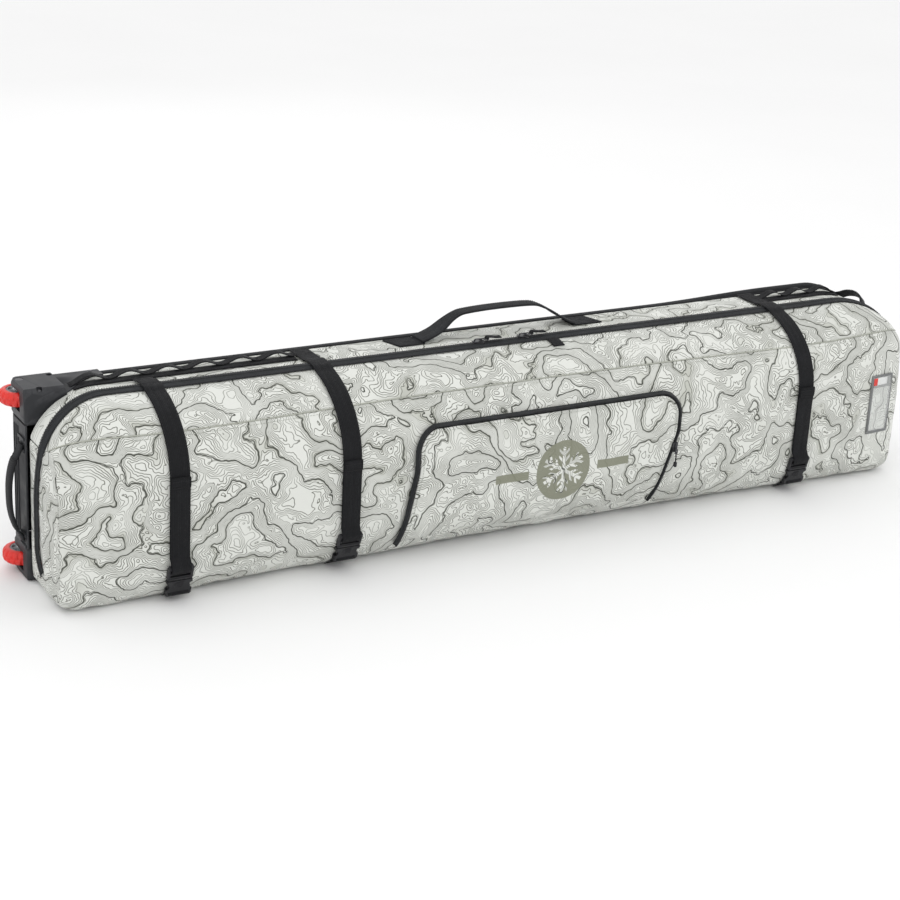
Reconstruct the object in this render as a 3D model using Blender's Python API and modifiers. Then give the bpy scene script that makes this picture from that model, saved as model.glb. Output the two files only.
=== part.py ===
"""Wheeled ski bag, lying on one long side: printed clamshell lid to -Y, black wheeled base to +Y, wheels at -X.

Metres, +Z up. The origin is on the flat bottom side wall, at the middle of the bag's length.
"""

import math

import bmesh
import bpy
from mathutils import Matrix, Vector

# ---- driving dimensions ----
LENGTH = 1.86           # body, end to end
HEIGHT = 0.36           # body, as it lies
BACK_Y = 0.103          # outer face of the base panel
FRONT_END = 0.137       # how far the lid stands forward of the origin at the two ends
FRONT_SWELL = 0.027     # how much further it swells at mid length
SWELL_POWER = 2.5       # how flat that swell is along the middle
CORNER_TOP = ((0.160, 0.140), (0.090, 0.080))   # upper front corner's Y and Z radii, mid length and ends
CORNER_LOW = ((0.100, 0.120), (0.035, 0.035))   # lower front corner's
CORNER_POWER = (6.0, 2.0)       # how suddenly each tightens towards the ends
END_ROUND = 0.045       # length over which the section draws in at each end
END_INSET = 0.018       # how much it draws in there
TOP_ROUND = {-1: (0.120, 0.085), 1: (0.120, 0.050)}     # the same for the rounder top: wheel end, tip end
BASE_STEP = 0.020       # at the wheel end that stops this far in front of the base's square edge
WALL = 0.004            # padded fabric
GAP = 0.0005            # between touching pieces
SEAM = 0.0015           # between fabric panels

BASE_EDGE_Y = 0.084     # the base panel wraps to here on the top and bottom
BASE_CORNER = 0.010     # its rounded long edges
ZIP_Y = -0.012          # main zip along the top
ZIP_CORNER = 0.028      # how far forward the zip moves as it nears each end
ZIP_FOOT = (-0.050, 0.036)      # Y and Z of the zip's two ends, low on the end faces
ZIP_TURN = 0.085        # below this height it curves forward to its foot
ZIP_TAPE = 0.013        # each half
ZIP_THICK = 0.0014
SEAM_Y = -0.118         # seam between the lid's top gusset and its front panel
LID_EDGE_Y = -0.080     # the lid's sewn edge, under the bag
HINGE = (0.0, -0.0775, 0.0)     # the fold that the lid turns on

WEB_WIDE = 0.038        # compression strap webbing
WEB_THICK = 0.0018
WEB_LIFT = 0.0032       # the webbing's inner face above the lid
TRIM_LIFT = 0.0022      # the pocket's and the straps' sewn ends above the lid
STRAPS = {"wheel_end": (-0.720, 0.022), "middle": (-0.391, 0.080), "tip_end": (0.648, 0.080)}
TAIL_TURN = 1.96        # where on the section the doubled tail starts
BUCKLE_Z = {"wheel_end": 0.080, "middle": 0.090, "tip_end": 0.088}      # top of each buckle
SOCKET_LONG = 0.034
PLUG_LONG = 0.030
BUCKLE_WIDE = 0.048
BUCKLE_THICK = 0.009
BUCKLE_CLEAR = 0.0010   # between a buckle and the lid where it comes nearest
PRONG_LONG = 0.018
RELEASE = 0.030         # how far a plug draws out
ANCHOR_BELOW = 0.007    # from a socket's end to where its webbing is sewn down
ANCHOR_FOOT = 0.005     # height at which that webbing ends, clear of what the bag lies on

WHEEL_RADIUS = 0.036
WHEEL_WIDE = 0.026
WHEEL_X = -0.923
WHEEL_Y = 0.096
TYRE_INNER = 0.0225
BEARING = (0.0110, 0.0042, 0.007)       # outer radius, bore radius, width
AXLE_RADIUS = 0.0040
AXLE_HEAD = (0.0075, 0.0030)            # radius, height
HOUSING_LOW = (-0.935, 0.030)
HOUSING_HIGH = (-0.858, 0.113)
HOUSING_TALL = 0.064
WHEEL_ROOM = 0.005      # round the wheel, inside its housing
HOUSING_BASE = {"upper": 0.300, "lower": 0.0}
KICK_THICK = 0.004
WING_END = -0.775       # the housings' tapering wings end here

POCKET_Z = (0.048, 0.272)       # foot and top edge
POCKET_FOOT = {-1: (-0.292, 0.028), 1: (0.285, 0.048)}      # each side's X at the foot, and how far it leans
POCKET_CORNER = 0.050
POCKET_RIM = 0.012      # its zip
POCKET_OUT = 0.008      # how far it stands off the lid
POCKET_PULL_Z = 0.158
POCKET_PULL_LONG = 0.038

HANDLE_Y = (0.026, 0.072)       # the carry handle's two edges
HANDLE_THICK = 0.0032
HANDLE_LIFT = 0.0035    # from the top wall up to the handle's folds
CARRY_FOOT = (0.006, 0.0015)    # the first and last bends above those folds
CARRY_WHEEL_SIDE = (-0.150, -0.135)     # X of the fold and bend at each end
CARRY_TIP_SIDE = (0.194, 0.182)
CARRY_BOW = (           # X and height of the bends between
    (-0.110, 0.380), (-0.085, 0.398), (-0.065, 0.408), (-0.045, 0.411), (0.0, 0.413),
    (0.060, 0.413), (0.100, 0.411), (0.120, 0.405), (0.145, 0.392), (0.165, 0.379),
)
CARRY_ANCHORS = {"wheel_side": (-0.215, -0.152), "tip_side": (0.196, 0.258)}
CARRY_TURN_X = 0.02
WHEEL_HANDLE_Y = (0.036, 0.062)
WHEEL_HANDLE_GAP = 0.0025       # between the kick plate and the handle's middle line
WHEEL_HANDLE_BOW = (    # how far out, and height
    (0.0, 0.262), (-0.004, 0.250), (-0.016, 0.225), (-0.022, 0.195), (-0.023, 0.165),
    (-0.021, 0.135), (-0.014, 0.108), (-0.004, 0.090), (0.0, 0.078),
)
TIP_HANDLE_X = 0.915
TIP_HANDLE_WIDE = 0.022
TIP_HANDLE_BOW = (      # how far out, and Y
    (0.0, 0.093), (0.004, 0.086), (0.013, 0.074), (0.018, 0.058), (0.018, 0.042),
    (0.013, 0.026), (0.004, 0.014), (0.0, 0.007),
)
PULL_LONG = 0.046       # main zip pulls
SLIDERS = {"wheel_side": -0.052, "tip_side": 0.048}
SLIDER_LIFT = 0.0028
CHAIN_Y = 0.044         # daisy chains
CHAIN_WIDE = 0.036
DAISY_CHAINS = {"wheel_end": (-0.846, -0.414), "tip_end": (0.6655, 0.855)}
CARD_X = (0.833, 0.893)         # identity window's opening
CARD_Z = (0.102, 0.232)
CARD_OVERLAP = 0.007
END_STATIONS = (0.81, 0.84, 0.865, 0.885, 0.90, 0.915)      # where each end's rounding is followed closely

COLOURS = {
    "print_fabric": ((0.76, 0.78, 0.73), 0.85, 0.0),
    "base_fabric": ((0.035, 0.036, 0.038), 0.80, 0.0),
    "webbing": ((0.015, 0.015, 0.017), 0.75, 0.0),
    "zip_tape": ((0.045, 0.047, 0.050), 0.70, 0.0),
    "moulding": ((0.050, 0.051, 0.055), 0.50, 0.0),
    "sheet_plastic": ((0.20, 0.20, 0.21), 0.55, 0.0),
    "buckle_plastic": ((0.020, 0.020, 0.022), 0.40, 0.0),
    "tyre_red": ((0.72, 0.045, 0.030), 0.45, 0.0),
    "hub_grey": ((0.22, 0.23, 0.24), 0.45, 0.0),
    "steel": ((0.60, 0.60, 0.62), 0.30, 1.0),
    "zip_metal": ((0.10, 0.10, 0.11), 0.35, 0.8),
    "clear_window": ((0.80, 0.82, 0.80), 0.15, 0.0),
}

materials = {}
collections = {}


# ---- scene helpers ----
def clear_scene():
    for old in list(bpy.data.objects):
        bpy.data.objects.remove(old, do_unlink=True)


def new_collection(name):
    made = bpy.data.collections.new(name)
    bpy.context.scene.collection.children.link(made)
    return made


def material(name):
    if name not in materials:
        colour, roughness, metallic = COLOURS[name]
        made = bpy.data.materials.new(name)
        made.use_nodes = True
        shader = made.node_tree.nodes["Principled BSDF"]
        shader.inputs["Base Color"].default_value = (*colour, 1.0)
        shader.inputs["Roughness"].default_value = roughness
        shader.inputs["Metallic"].default_value = metallic
        materials[name] = made
    return materials[name]


def mesh_from(bm, name):
    mesh = bpy.data.meshes.new(name)
    bm.to_mesh(mesh)
    bm.free()
    return mesh


def add_part(name, mesh, finish, origin=(0, 0, 0)):
    """A named part whose mesh is given in world places; its own origin goes where stated."""
    mesh.transform(Matrix.Translation(-Vector(origin)))
    mesh.materials.append(material(finish))
    made = bpy.data.objects.new(name, mesh)
    made.location = origin
    collections["parts"].objects.link(made)
    return made


def add_cutter(name, mesh):
    made = bpy.data.objects.new(name, mesh)
    made.hide_render = True
    made.display_type = "WIRE"
    collections["cutters"].objects.link(made)
    return made


def box_mesh(name, low, high):
    bm = bmesh.new()
    bmesh.ops.create_cube(bm, size=1.0)
    size = [top - bottom for bottom, top in zip(low, high)]
    centre = [(top + bottom) / 2 for bottom, top in zip(low, high)]
    bmesh.ops.scale(bm, vec=size, verts=bm.verts)
    bmesh.ops.translate(bm, vec=centre, verts=bm.verts)
    return mesh_from(bm, name)


def cylinder_mesh(name, centre, radius, depth, segments=32):
    bm = bmesh.new()
    bmesh.ops.create_cone(
        bm, cap_ends=True, segments=segments, radius1=radius, radius2=radius, depth=depth
    )
    bmesh.ops.translate(bm, vec=centre, verts=bm.verts)
    return mesh_from(bm, name)


def prism_mesh(name, outline, axis, start, end):
    """A flat outline, drawn in the plane across the axis, carried from start to end along it."""
    bm = bmesh.new()
    place = {
        "X": lambda a, b, along: (along, a, b),
        "Y": lambda a, b, along: (a, along, b),
        "Z": lambda a, b, along: (a, b, along),
    }[axis]
    face = bm.faces.new([bm.verts.new(place(a, b, start)) for a, b in outline])
    grown = bmesh.ops.extrude_face_region(bm, geom=[face])
    moved = [item for item in grown["geom"] if isinstance(item, bmesh.types.BMVert)]
    step = Vector(place(0, 0, end)) - Vector(place(0, 0, start))
    bmesh.ops.translate(bm, vec=step, verts=moved)
    bmesh.ops.recalc_face_normals(bm, faces=bm.faces)
    return mesh_from(bm, name)


def round_edges(obj, width, segments=2):
    bevel = obj.modifiers.new("rounded", "BEVEL")
    bevel.width = width
    bevel.segments = segments
    bevel.limit_method = "ANGLE"


def solidify(obj, thickness, offset, even=False):
    wall = obj.modifiers.new("thickness", "SOLIDIFY")
    wall.thickness = thickness
    wall.offset = offset
    wall.use_even_offset = even


def boolean(obj, other, operation="DIFFERENCE"):
    cut = obj.modifiers.new(other.name, "BOOLEAN")
    cut.operation = operation
    cut.object = other


def turned(name, profile, place, finish, ring=True, steps=32):
    """A turned piece about Z: profile points (radius, z) run down the outer side; a ring's outline closes."""
    bm = bmesh.new()
    corners = [bm.verts.new((radius, 0, z)) for radius, z in profile]
    ends = list(zip(corners, corners[1:] + corners[:1])) if ring else list(zip(corners, corners[1:]))
    for pair in ends:
        bm.edges.new(pair)
    made = add_part(name, mesh_from(bm, name), finish)
    made.location = place
    screw = made.modifiers.new("turned", "SCREW")
    screw.steps = steps
    screw.render_steps = steps
    screw.use_merge_vertices = True
    screw.merge_threshold = 0.0001
    return made


def grid_surface(name, rows):
    """An open sheet through rows of points. It faces the side from which rows run up and points run left."""
    bm = bmesh.new()
    verts = [[bm.verts.new(point) for point in row] for row in rows]
    for lower, upper in zip(verts, verts[1:]):
        for a, b, c, d in zip(lower, lower[1:], upper[1:], upper):
            bm.faces.new((a, b, c, d))
    return mesh_from(bm, name)


def spread(start, end, count):
    return [start + (end - start) * i / count for i in range(count + 1)]


# ---- the bag's outer skin ----
def swell(x):
    """How far forward of the origin the lid's face stands at this place along the bag."""
    return FRONT_END + FRONT_SWELL * (1 - abs(2 * x / LENGTH) ** SWELL_POWER)


def corner_radii(x):
    """The section's upper and lower front corners at this place, each as (Y radius, Z radius)."""
    shares = [abs(2 * x / LENGTH) ** power for power in CORNER_POWER]
    return [
        tuple(middle + (end - middle) * share for middle, end in zip(*corner))
        for corner, share in zip((CORNER_TOP, CORNER_LOW), shares)
    ]


def smooth(share):
    share = min(1.0, max(0.0, share))
    return share * share * (3 - 2 * share)


def end_curve(x, reach, depth):
    """A rounding that starts at this reach from an end and is this deep at the end itself."""
    past = max(0.0, (abs(x) - LENGTH / 2 + reach) / reach) * 0.95
    return depth * (1 - math.sqrt(1 - past * past)) / (1 - math.sqrt(1 - 0.95**2))


def draw_in(x, y, turn):
    """How much the skin draws in near an end. At the wheel end the rigid base keeps the back square."""
    top = smooth(1 - (turn - 1) / 1.5)
    plain = end_curve(x, END_ROUND, END_INSET)
    drawn = plain + (end_curve(x, *TOP_ROUND[1 if x > 0 else -1]) - plain) * top
    return drawn * smooth((BASE_EDGE_Y - y) / BASE_STEP) if x < 0 else drawn


def skin(x, turn, out=0.0):
    """A point of the section at x. turn: 0-1 top, 1-2 upper corner, 2-3 front, 3-4 lower corner, 4-5 bottom."""
    front = swell(x)
    upper, lower = corner_radii(x)
    top_y = upper[0] - front
    top_z = HEIGHT - upper[1]
    low_y = lower[0] - front
    low_z = lower[1]
    if turn <= 1:
        y, z, normal = BACK_Y + (top_y - BACK_Y) * turn, HEIGHT, (0, 1)
    elif turn <= 2:
        a = (turn - 1) * math.pi / 2
        y, z = top_y - upper[0] * math.sin(a), top_z + upper[1] * math.cos(a)
        normal = (-math.sin(a) / upper[0], math.cos(a) / upper[1])
    elif turn <= 3:
        y, z, normal = -front, top_z + (low_z - top_z) * (turn - 2), (-1, 0)
    elif turn <= 4:
        a = (turn - 3) * math.pi / 2
        y, z = low_y - lower[0] * math.cos(a), low_z - lower[1] * math.sin(a)
        normal = (-math.cos(a) / lower[0], -math.sin(a) / lower[1])
    else:
        y, z, normal = low_y + (BACK_Y - low_y) * (turn - 4), 0.0, (0, -1)
    size = math.hypot(*normal)
    shift = (out - draw_in(x, y, turn)) / size
    return Vector((x, y + normal[0] * shift, z + normal[1] * shift))


def turn_on_top(x, y):
    """The turn at which the section passes a given Y on the upper side."""
    radius = corner_radii(x)[0][0]
    top_y = radius - swell(x)
    if y >= top_y:
        return (BACK_Y - y) / (BACK_Y - top_y)
    return 1 + math.asin((top_y - y) / radius) / (math.pi / 2)


def turn_below(x, y):
    """The turn at which it passes a given Y on the underside."""
    radius = corner_radii(x)[1][0]
    low_y = radius - swell(x)
    if y >= low_y:
        return 4 + (y - low_y) / (BACK_Y - low_y)
    return 3 + math.acos((low_y - y) / radius) / (math.pi / 2)


def turn_at_height(x, z):
    """The turn at which the front passes a given Z."""
    upper, lower = (radii[1] for radii in corner_radii(x))
    top_z = HEIGHT - upper
    if z > top_z:
        return 1 + math.acos((z - top_z) / upper) / (math.pi / 2)
    if z > lower:
        return 2 + (top_z - z) / (top_z - lower)
    return 3 + math.asin((lower - z) / lower) / (math.pi / 2)


def skin_normal(x, turn):
    return (skin(x, turn, 0.001) - skin(x, turn)).normalized()


def skin_panel(name, xs, start, end, count, finish, origin=(0, 0, 0)):
    """A fabric panel of the skin between two turns, each given as a function of x."""
    rows = [[skin(x, turn) for turn in spread(start(x), end(x), count)] for x in xs]
    made = add_part(name, grid_surface(name, rows), finish, origin)
    solidify(made, WALL, -1)
    return made


def ribbon(name, places, finish, wide, thick, origin=(0, 0, 0)):
    """A flat band. places: (centre, direction across, outward normal); the outer face is the normal's side."""
    rows = [
        [Vector(centre) - Vector(across) * wide / 2, Vector(centre) + Vector(across) * wide / 2]
        for centre, across, normal in places
    ]
    mesh = grid_surface(name, rows)
    if mesh.polygons[0].normal.dot(Vector(places[0][2])) < 0:
        mesh.flip_normals()
    made = add_part(name, mesh, finish, origin)
    solidify(made, thick, 1)
    return made


def body_stations(low, high):
    """Places along X: close together where the ends draw in, wider apart between."""
    near = [low] + [-x for x in reversed(END_STATIONS) if -x > low + 0.003]
    far = [x for x in END_STATIONS if x < high - 0.003] + [high]
    return near + spread(-0.77, 0.77, 14) + far


# ---- shell ----
def base_profile(x):
    """The base panel's outline at x: over the top edge, down the back, and under the bottom edge."""
    top = HEIGHT - draw_in(x, BACK_Y, 0)
    foot = draw_in(x, BACK_Y, 5)
    arc = [
        (BACK_Y - BASE_CORNER + BASE_CORNER * math.sin(a), BASE_CORNER * math.cos(a) - BASE_CORNER)
        for a in spread(0, math.pi / 2, 3)
    ]
    upper = [(BASE_EDGE_Y, 0.0)] + arc
    points = [(x, y, top + z) for y, z in upper]
    return points + [(x, y, foot - z) for y, z in reversed(upper)]


def make_base():
    xs = [HOUSING_HIGH[0] + 0.002, 0.0, 0.77, *END_STATIONS, LENGTH / 2 - 0.001]
    rows = [base_profile(x) for x in reversed(xs)]
    panel = add_part("base_panel", grid_surface("base_panel", rows), "base_fabric")
    solidify(panel, WALL, -1, even=True)
    sheet_back = BACK_Y - WALL - GAP
    sheet = box_mesh("frame_sheet", (-0.850, sheet_back - 0.002, 0.030), (0.880, sheet_back, 0.330))
    round_edges(add_part("frame_sheet", sheet, "sheet_plastic"), 0.0008, 1)
    for name, z in (("skid_rail_upper", 0.285), ("skid_rail_lower", 0.075)):
        low = (-0.845, BACK_Y + GAP, z - 0.011)
        high = (0.880, BACK_Y + 0.010, z + 0.011)
        round_edges(add_part(name, box_mesh(name, low, high), "moulding"), 0.004)


def housing_room(name, base):
    low = (HOUSING_LOW[0] - 0.02, HOUSING_LOW[1] - 0.002, base - 0.02)
    high = (HOUSING_HIGH[0] + 0.002, HOUSING_HIGH[1] + 0.02, base + HOUSING_TALL + 0.02)
    return add_cutter(name, box_mesh(name, low, high))


def make_side_walls():
    half = LENGTH / 2 - 0.001
    xs = body_stations(-half, half)
    top = skin_panel(
        "top_wall", xs, lambda x: turn_on_top(x, BASE_EDGE_Y - 2 * SEAM),
        lambda x: turn_on_top(x, zip_y(x) + SEAM), 5, "print_fabric",
    )
    bottom = skin_panel(
        "bottom_wall", xs, lambda x: turn_below(x, LID_EDGE_Y + 0.004),
        lambda x: turn_below(x, BASE_EDGE_Y - SEAM), 5, "print_fabric",
    )
    boolean(top, housing_room("upper_housing_room", HOUSING_BASE["upper"]))
    boolean(bottom, housing_room("lower_housing_room", HOUSING_BASE["lower"]))


def zip_y(x):
    """Y of the zip along the top."""
    return ZIP_Y - ZIP_CORNER * max(0.0, (abs(x) - LENGTH / 2 + 0.13) / 0.13) ** 2


def zip_corner(side):
    """Where the zip passes from the top on to an end face."""
    x = side * LENGTH / 2
    return skin(x, turn_on_top(x, zip_y(x)))


def zip_line(z, side):
    """Y of the zip on an end face: down from the top corner, straight, then forward to its foot."""
    corner = zip_corner(side)
    if z > 0.16:
        return ZIP_Y + (corner.y - ZIP_Y) * ((z - 0.16) / (corner.z - 0.16)) ** 2
    if z > ZIP_TURN:
        return ZIP_Y
    share = (ZIP_TURN - z) / (ZIP_TURN - ZIP_FOOT[1])
    return ZIP_Y + (ZIP_FOOT[0] - ZIP_Y) * share * share


def end_section(side, start, end, count):
    """(y, z) points of the section just inside the skin at one end."""
    x = side * (LENGTH / 2 - 0.001)
    turns = spread(start, end, count)
    return [tuple(skin(x, turn, -(WALL + 2 * SEAM))[1:]) for turn in turns]


def zip_run(offset, side):
    """(y, z) points down an end face, beside the zip line."""
    top = zip_corner(side).z - WALL - 2 * SEAM
    return [(zip_line(z, side) + offset, z) for z in spread(top, ZIP_FOOT[1] + 0.006, 10)]


def make_end_walls():
    """The shell's share of each end face, behind the zip."""
    for name, side in (("wheel_end_wall", -1), ("tip_end_wall", 1)):
        x = side * (LENGTH / 2 - 0.001)
        back = HOUSING_LOW[1] - 0.002 if side < 0 else BACK_Y - WALL - SEAM
        run = zip_run(SEAM, side)
        turns = (turn_on_top(x, back), turn_on_top(x, run[0][0] + 0.002))
        upper = end_section(side, *turns, 4)
        turns = (turn_below(x, run[-1][0] + 0.002), turn_below(x, back))
        lower = end_section(side, *turns, 4)
        if side > 0:
            upper[:1] = [(back, upper[0][1] - BASE_CORNER), (back - BASE_CORNER, upper[0][1])]
            lower[-1:] = [(back - BASE_CORNER, lower[-1][1]), (back, lower[-1][1] + BASE_CORNER)]
        outline = upper + run + lower
        mesh = prism_mesh(name, outline, "X", x - side * WALL, x)
        add_part(name, mesh, "print_fabric")


def make_kick_plate():
    """Moulded L-section that closes the wheel end's back edge between the two housings."""
    low = HOUSING_BASE["lower"] + HOUSING_TALL + GAP
    high = HOUSING_BASE["upper"] - GAP
    x0, y0 = HOUSING_LOW
    x1, y1 = HOUSING_HIGH
    t = KICK_THICK
    outline = [(x0, y0), (x0 + t, y0), (x0 + t, y1 - t), (x1, y1 - t), (x1, y1), (x0, y1)]
    plate = add_part("kick_plate", prism_mesh("kick_plate", outline, "Z", low, high), "moulding")
    round_edges(plate, 0.0012, 1)


def make_housing(name, base):
    upper = name == "upper"
    low = (*HOUSING_LOW, base)
    high = (*HOUSING_HIGH, base + HOUSING_TALL)
    housing = add_part("wheel_housing_" + name, box_mesh(name, low, high), "moulding")
    outer = base + HOUSING_TALL if upper else base
    wing_z = (outer - 0.003, outer) if upper else (outer, outer + 0.003)
    x1, y1 = HOUSING_HIGH
    root, back = x1 - 0.01, BACK_Y - 0.002
    wing_outline = [(root, 0.060), (WING_END, 0.090), (WING_END, back), (root, back)]
    if upper:
        wing = add_cutter("wing_" + name, prism_mesh("wing", wing_outline, "Z", *wing_z))
        boolean(housing, wing, "UNION")
    middle = base + HOUSING_TALL / 2 + (0.002 if upper else -0.002)
    room = WHEEL_RADIUS + WHEEL_ROOM
    slot_low = (HOUSING_LOW[0] - 0.01, WHEEL_Y - room, middle - WHEEL_WIDE / 2 - WHEEL_ROOM)
    slot_high = (WHEEL_X + room, HOUSING_HIGH[1] + 0.01, middle + WHEEL_WIDE / 2 + WHEEL_ROOM)
    boolean(housing, add_cutter("slot_" + name, box_mesh("slot", slot_low, slot_high)))
    bore = cylinder_mesh("bore", (WHEEL_X, WHEEL_Y, base + HOUSING_TALL / 2), AXLE_RADIUS + 0.0004, 0.2)
    boolean(housing, add_cutter("bore_" + name, bore))
    head_z = outer + (-1 if upper else 1) * AXLE_HEAD[1] / 2
    seat = cylinder_mesh("seat", (WHEEL_X, WHEEL_Y, head_z), AXLE_HEAD[0] + 0.0006, AXLE_HEAD[1] + 0.002)
    boolean(housing, add_cutter("seat_" + name, seat))
    side = 1 if upper else -1
    for spot, (x, y) in (("front", (-0.905, 0.040)), ("inner", (-0.866, 0.100))):
        hole = cylinder_mesh("hole", (x, y, outer - side * 0.003), 0.0052, 0.007, 16)
        boolean(housing, add_cutter("hole_" + name + spot, hole))
        profile = [(0, 0.0022), (0.0030, 0.0020), (0.0047, 0.0004), (0.0047, 0), (0, 0)]
        if not upper:
            profile = [(0, 0), (0.0047, 0), (0.0047, -0.0004), (0.0030, -0.0020), (0, -0.0022)]
        head_at = (x, y, outer - side * 0.0059)
        turned(f"housing_screw_{name}_{spot}", profile, head_at, "steel", ring=False, steps=16)
    return middle, outer


def make_wheel(name, middle, outer):
    """Tyre, hub and two bearings, turning on an axle bolt that the housing holds."""
    place = (WHEEL_X, WHEEL_Y, middle)
    half = WHEEL_WIDE / 2
    crown = [
        (WHEEL_RADIUS - 0.010 + 0.010 * math.cos(a), (half - 0.010) + 0.010 * math.sin(a))
        for a in spread(math.pi / 2, 0, 4)
    ]
    tyre = [(TYRE_INNER, half)] + crown + [(r, -z) for r, z in reversed(crown)] + [(TYRE_INNER, -half)]
    turned(f"wheel_{name}_tyre", tyre, place, "tyre_red", steps=40)
    rim = TYRE_INNER - GAP
    bore = BEARING[0] + 0.0002
    hub_half = half - 0.001
    hub = [(bore, hub_half), (rim - 0.002, hub_half), (rim, hub_half - 0.002)]
    hub += [(r, -z) for r, z in reversed(hub)]
    turned(f"wheel_{name}_hub", hub, place, "hub_grey")
    outer_r, inner_r, wide = BEARING
    for spot, centre in (("top", hub_half - wide / 2), ("bottom", wide / 2 - hub_half)):
        ring = [(inner_r, wide / 2), (outer_r, wide / 2), (outer_r, -wide / 2), (inner_r, -wide / 2)]
        at = (WHEEL_X, WHEEL_Y, middle + centre)
        turned(f"wheel_{name}_bearing_{spot}", ring, at, "steel", steps=24)
    upper = name == "upper"
    head_r, head_h = AXLE_HEAD
    far = HOUSING_TALL - 0.004
    seat = 0.0005 - head_h
    shank = [(head_r, -0.0005), (head_r, seat), (AXLE_RADIUS, seat), (AXLE_RADIUS, -far)]
    bolt = [(0, -0.0005)] + shank + [(0, -far)]
    if not upper:
        bolt = [(r, -z) for r, z in reversed(bolt)]
    turned(f"wheel_{name}_axle_bolt", bolt, (WHEEL_X, WHEEL_Y, outer), "steel", ring=False, steps=24)


# ---- lid ----
def make_lid():
    half = LENGTH / 2 - 0.001
    xs = body_stations(-half, half)
    skin_panel(
        "lid_top_gusset", xs, lambda x: turn_on_top(x, zip_y(x) - SEAM),
        lambda x: turn_on_top(x, SEAM_Y + SEAM), 5, "print_fabric", HINGE,
    )
    skin_panel(
        "lid_front_panel", xs, lambda x: turn_on_top(x, SEAM_Y),
        lambda x: turn_below(x, LID_EDGE_Y), 20, "print_fabric", HINGE,
    )
    for name, side in (("lid_wheel_end_gusset", -1), ("lid_tip_end_gusset", 1)):
        x = side * (LENGTH / 2 - 0.001)
        run = zip_run(-SEAM, side)
        start = turn_on_top(x, run[0][0] - 0.002)
        finish = turn_below(x, run[-1][0] - 0.002)
        section = end_section(side, start, finish, 16)
        mesh = prism_mesh(name, section + run[::-1], "X", x - side * WALL, x)
        add_part(name, mesh, "print_fabric", HINGE)


def zip_end_places(side, shift, lift):
    """Stations of one half of the zip up an end face, as far as its top edge."""
    x = side * LENGTH / 2
    places = []
    for z in spread(ZIP_FOOT[1] + 0.012, zip_corner(side).z - 0.012, 8):
        places.append(((x + side * lift, zip_line(z, side) + shift, z), (0, 1, 0), (side, 0, 0)))
    edge = skin(x, turn_on_top(x, zip_y(x) + shift), 3 * lift)
    return places + [((x + side * lift, edge.y, edge.z), (0, 1, 0), (0.7 * side, 0, 0.7))]


def zip_places(half, lift=0.0008):
    """Stations of one half of the main zip: up one end face, along the top, and down the other end face."""
    shift = half * (ZIP_TAPE / 2 + 0.0008)
    places = zip_end_places(-1, shift, lift)
    for x in body_stations(0.001 - LENGTH / 2, LENGTH / 2 - 0.001):
        turn = turn_on_top(x, zip_y(x) + shift)
        normal = skin_normal(x, turn)
        rise = 3 * lift if abs(x) > END_STATIONS[-2] else lift
        places.append((skin(x, turn, rise), normal.cross(Vector((1, 0, 0))), normal))
    return places + zip_end_places(1, shift, lift)[::-1]


def make_main_zip():
    ribbon("main_zip_tape_body", zip_places(1), "zip_tape", ZIP_TAPE, ZIP_THICK)
    ribbon("main_zip_tape_lid", zip_places(-1), "zip_tape", ZIP_TAPE, ZIP_THICK, HINGE)


def make_slider(name, x, z):
    """A zip slider with its pull lying along +X from the bridge on its back."""
    y = ZIP_Y
    body = box_mesh(name, (x - 0.012, y - 0.0075, z), (x + 0.012, y + 0.0075, z + 0.006))
    round_edges(add_part(name, body, "zip_metal", (x, y, z)), 0.0015, 1)
    pivot = (x + 0.004, y, z + 0.0085)
    low, high = (pivot[0] - 0.002, y - 0.005, z + 0.0068), (pivot[0] + PULL_LONG, y + 0.005, z + 0.0098)
    pull = box_mesh(name, low, high)
    round_edges(add_part(name.replace("slider", "pull"), pull, "zip_metal", pivot), 0.0010, 1)


# ---- pocket on the lid ----
def pocket_side(z, side, shrink=0.0):
    """X of the pocket's left (-1) or right (1) edge at a height. Its sides lean; its top corners are round."""
    foot, spread_by = POCKET_FOOT[side]
    edge = foot + spread_by * min(1.0, (z - POCKET_Z[0]) / 0.14)
    corner = POCKET_CORNER - shrink
    past = min(1.0, max(0.0, (z - POCKET_Z[1] + shrink + corner) / corner))
    inset = corner * (1 - math.sqrt(1 - past * past))
    return edge - side * (inset + shrink * 1.08)


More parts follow.
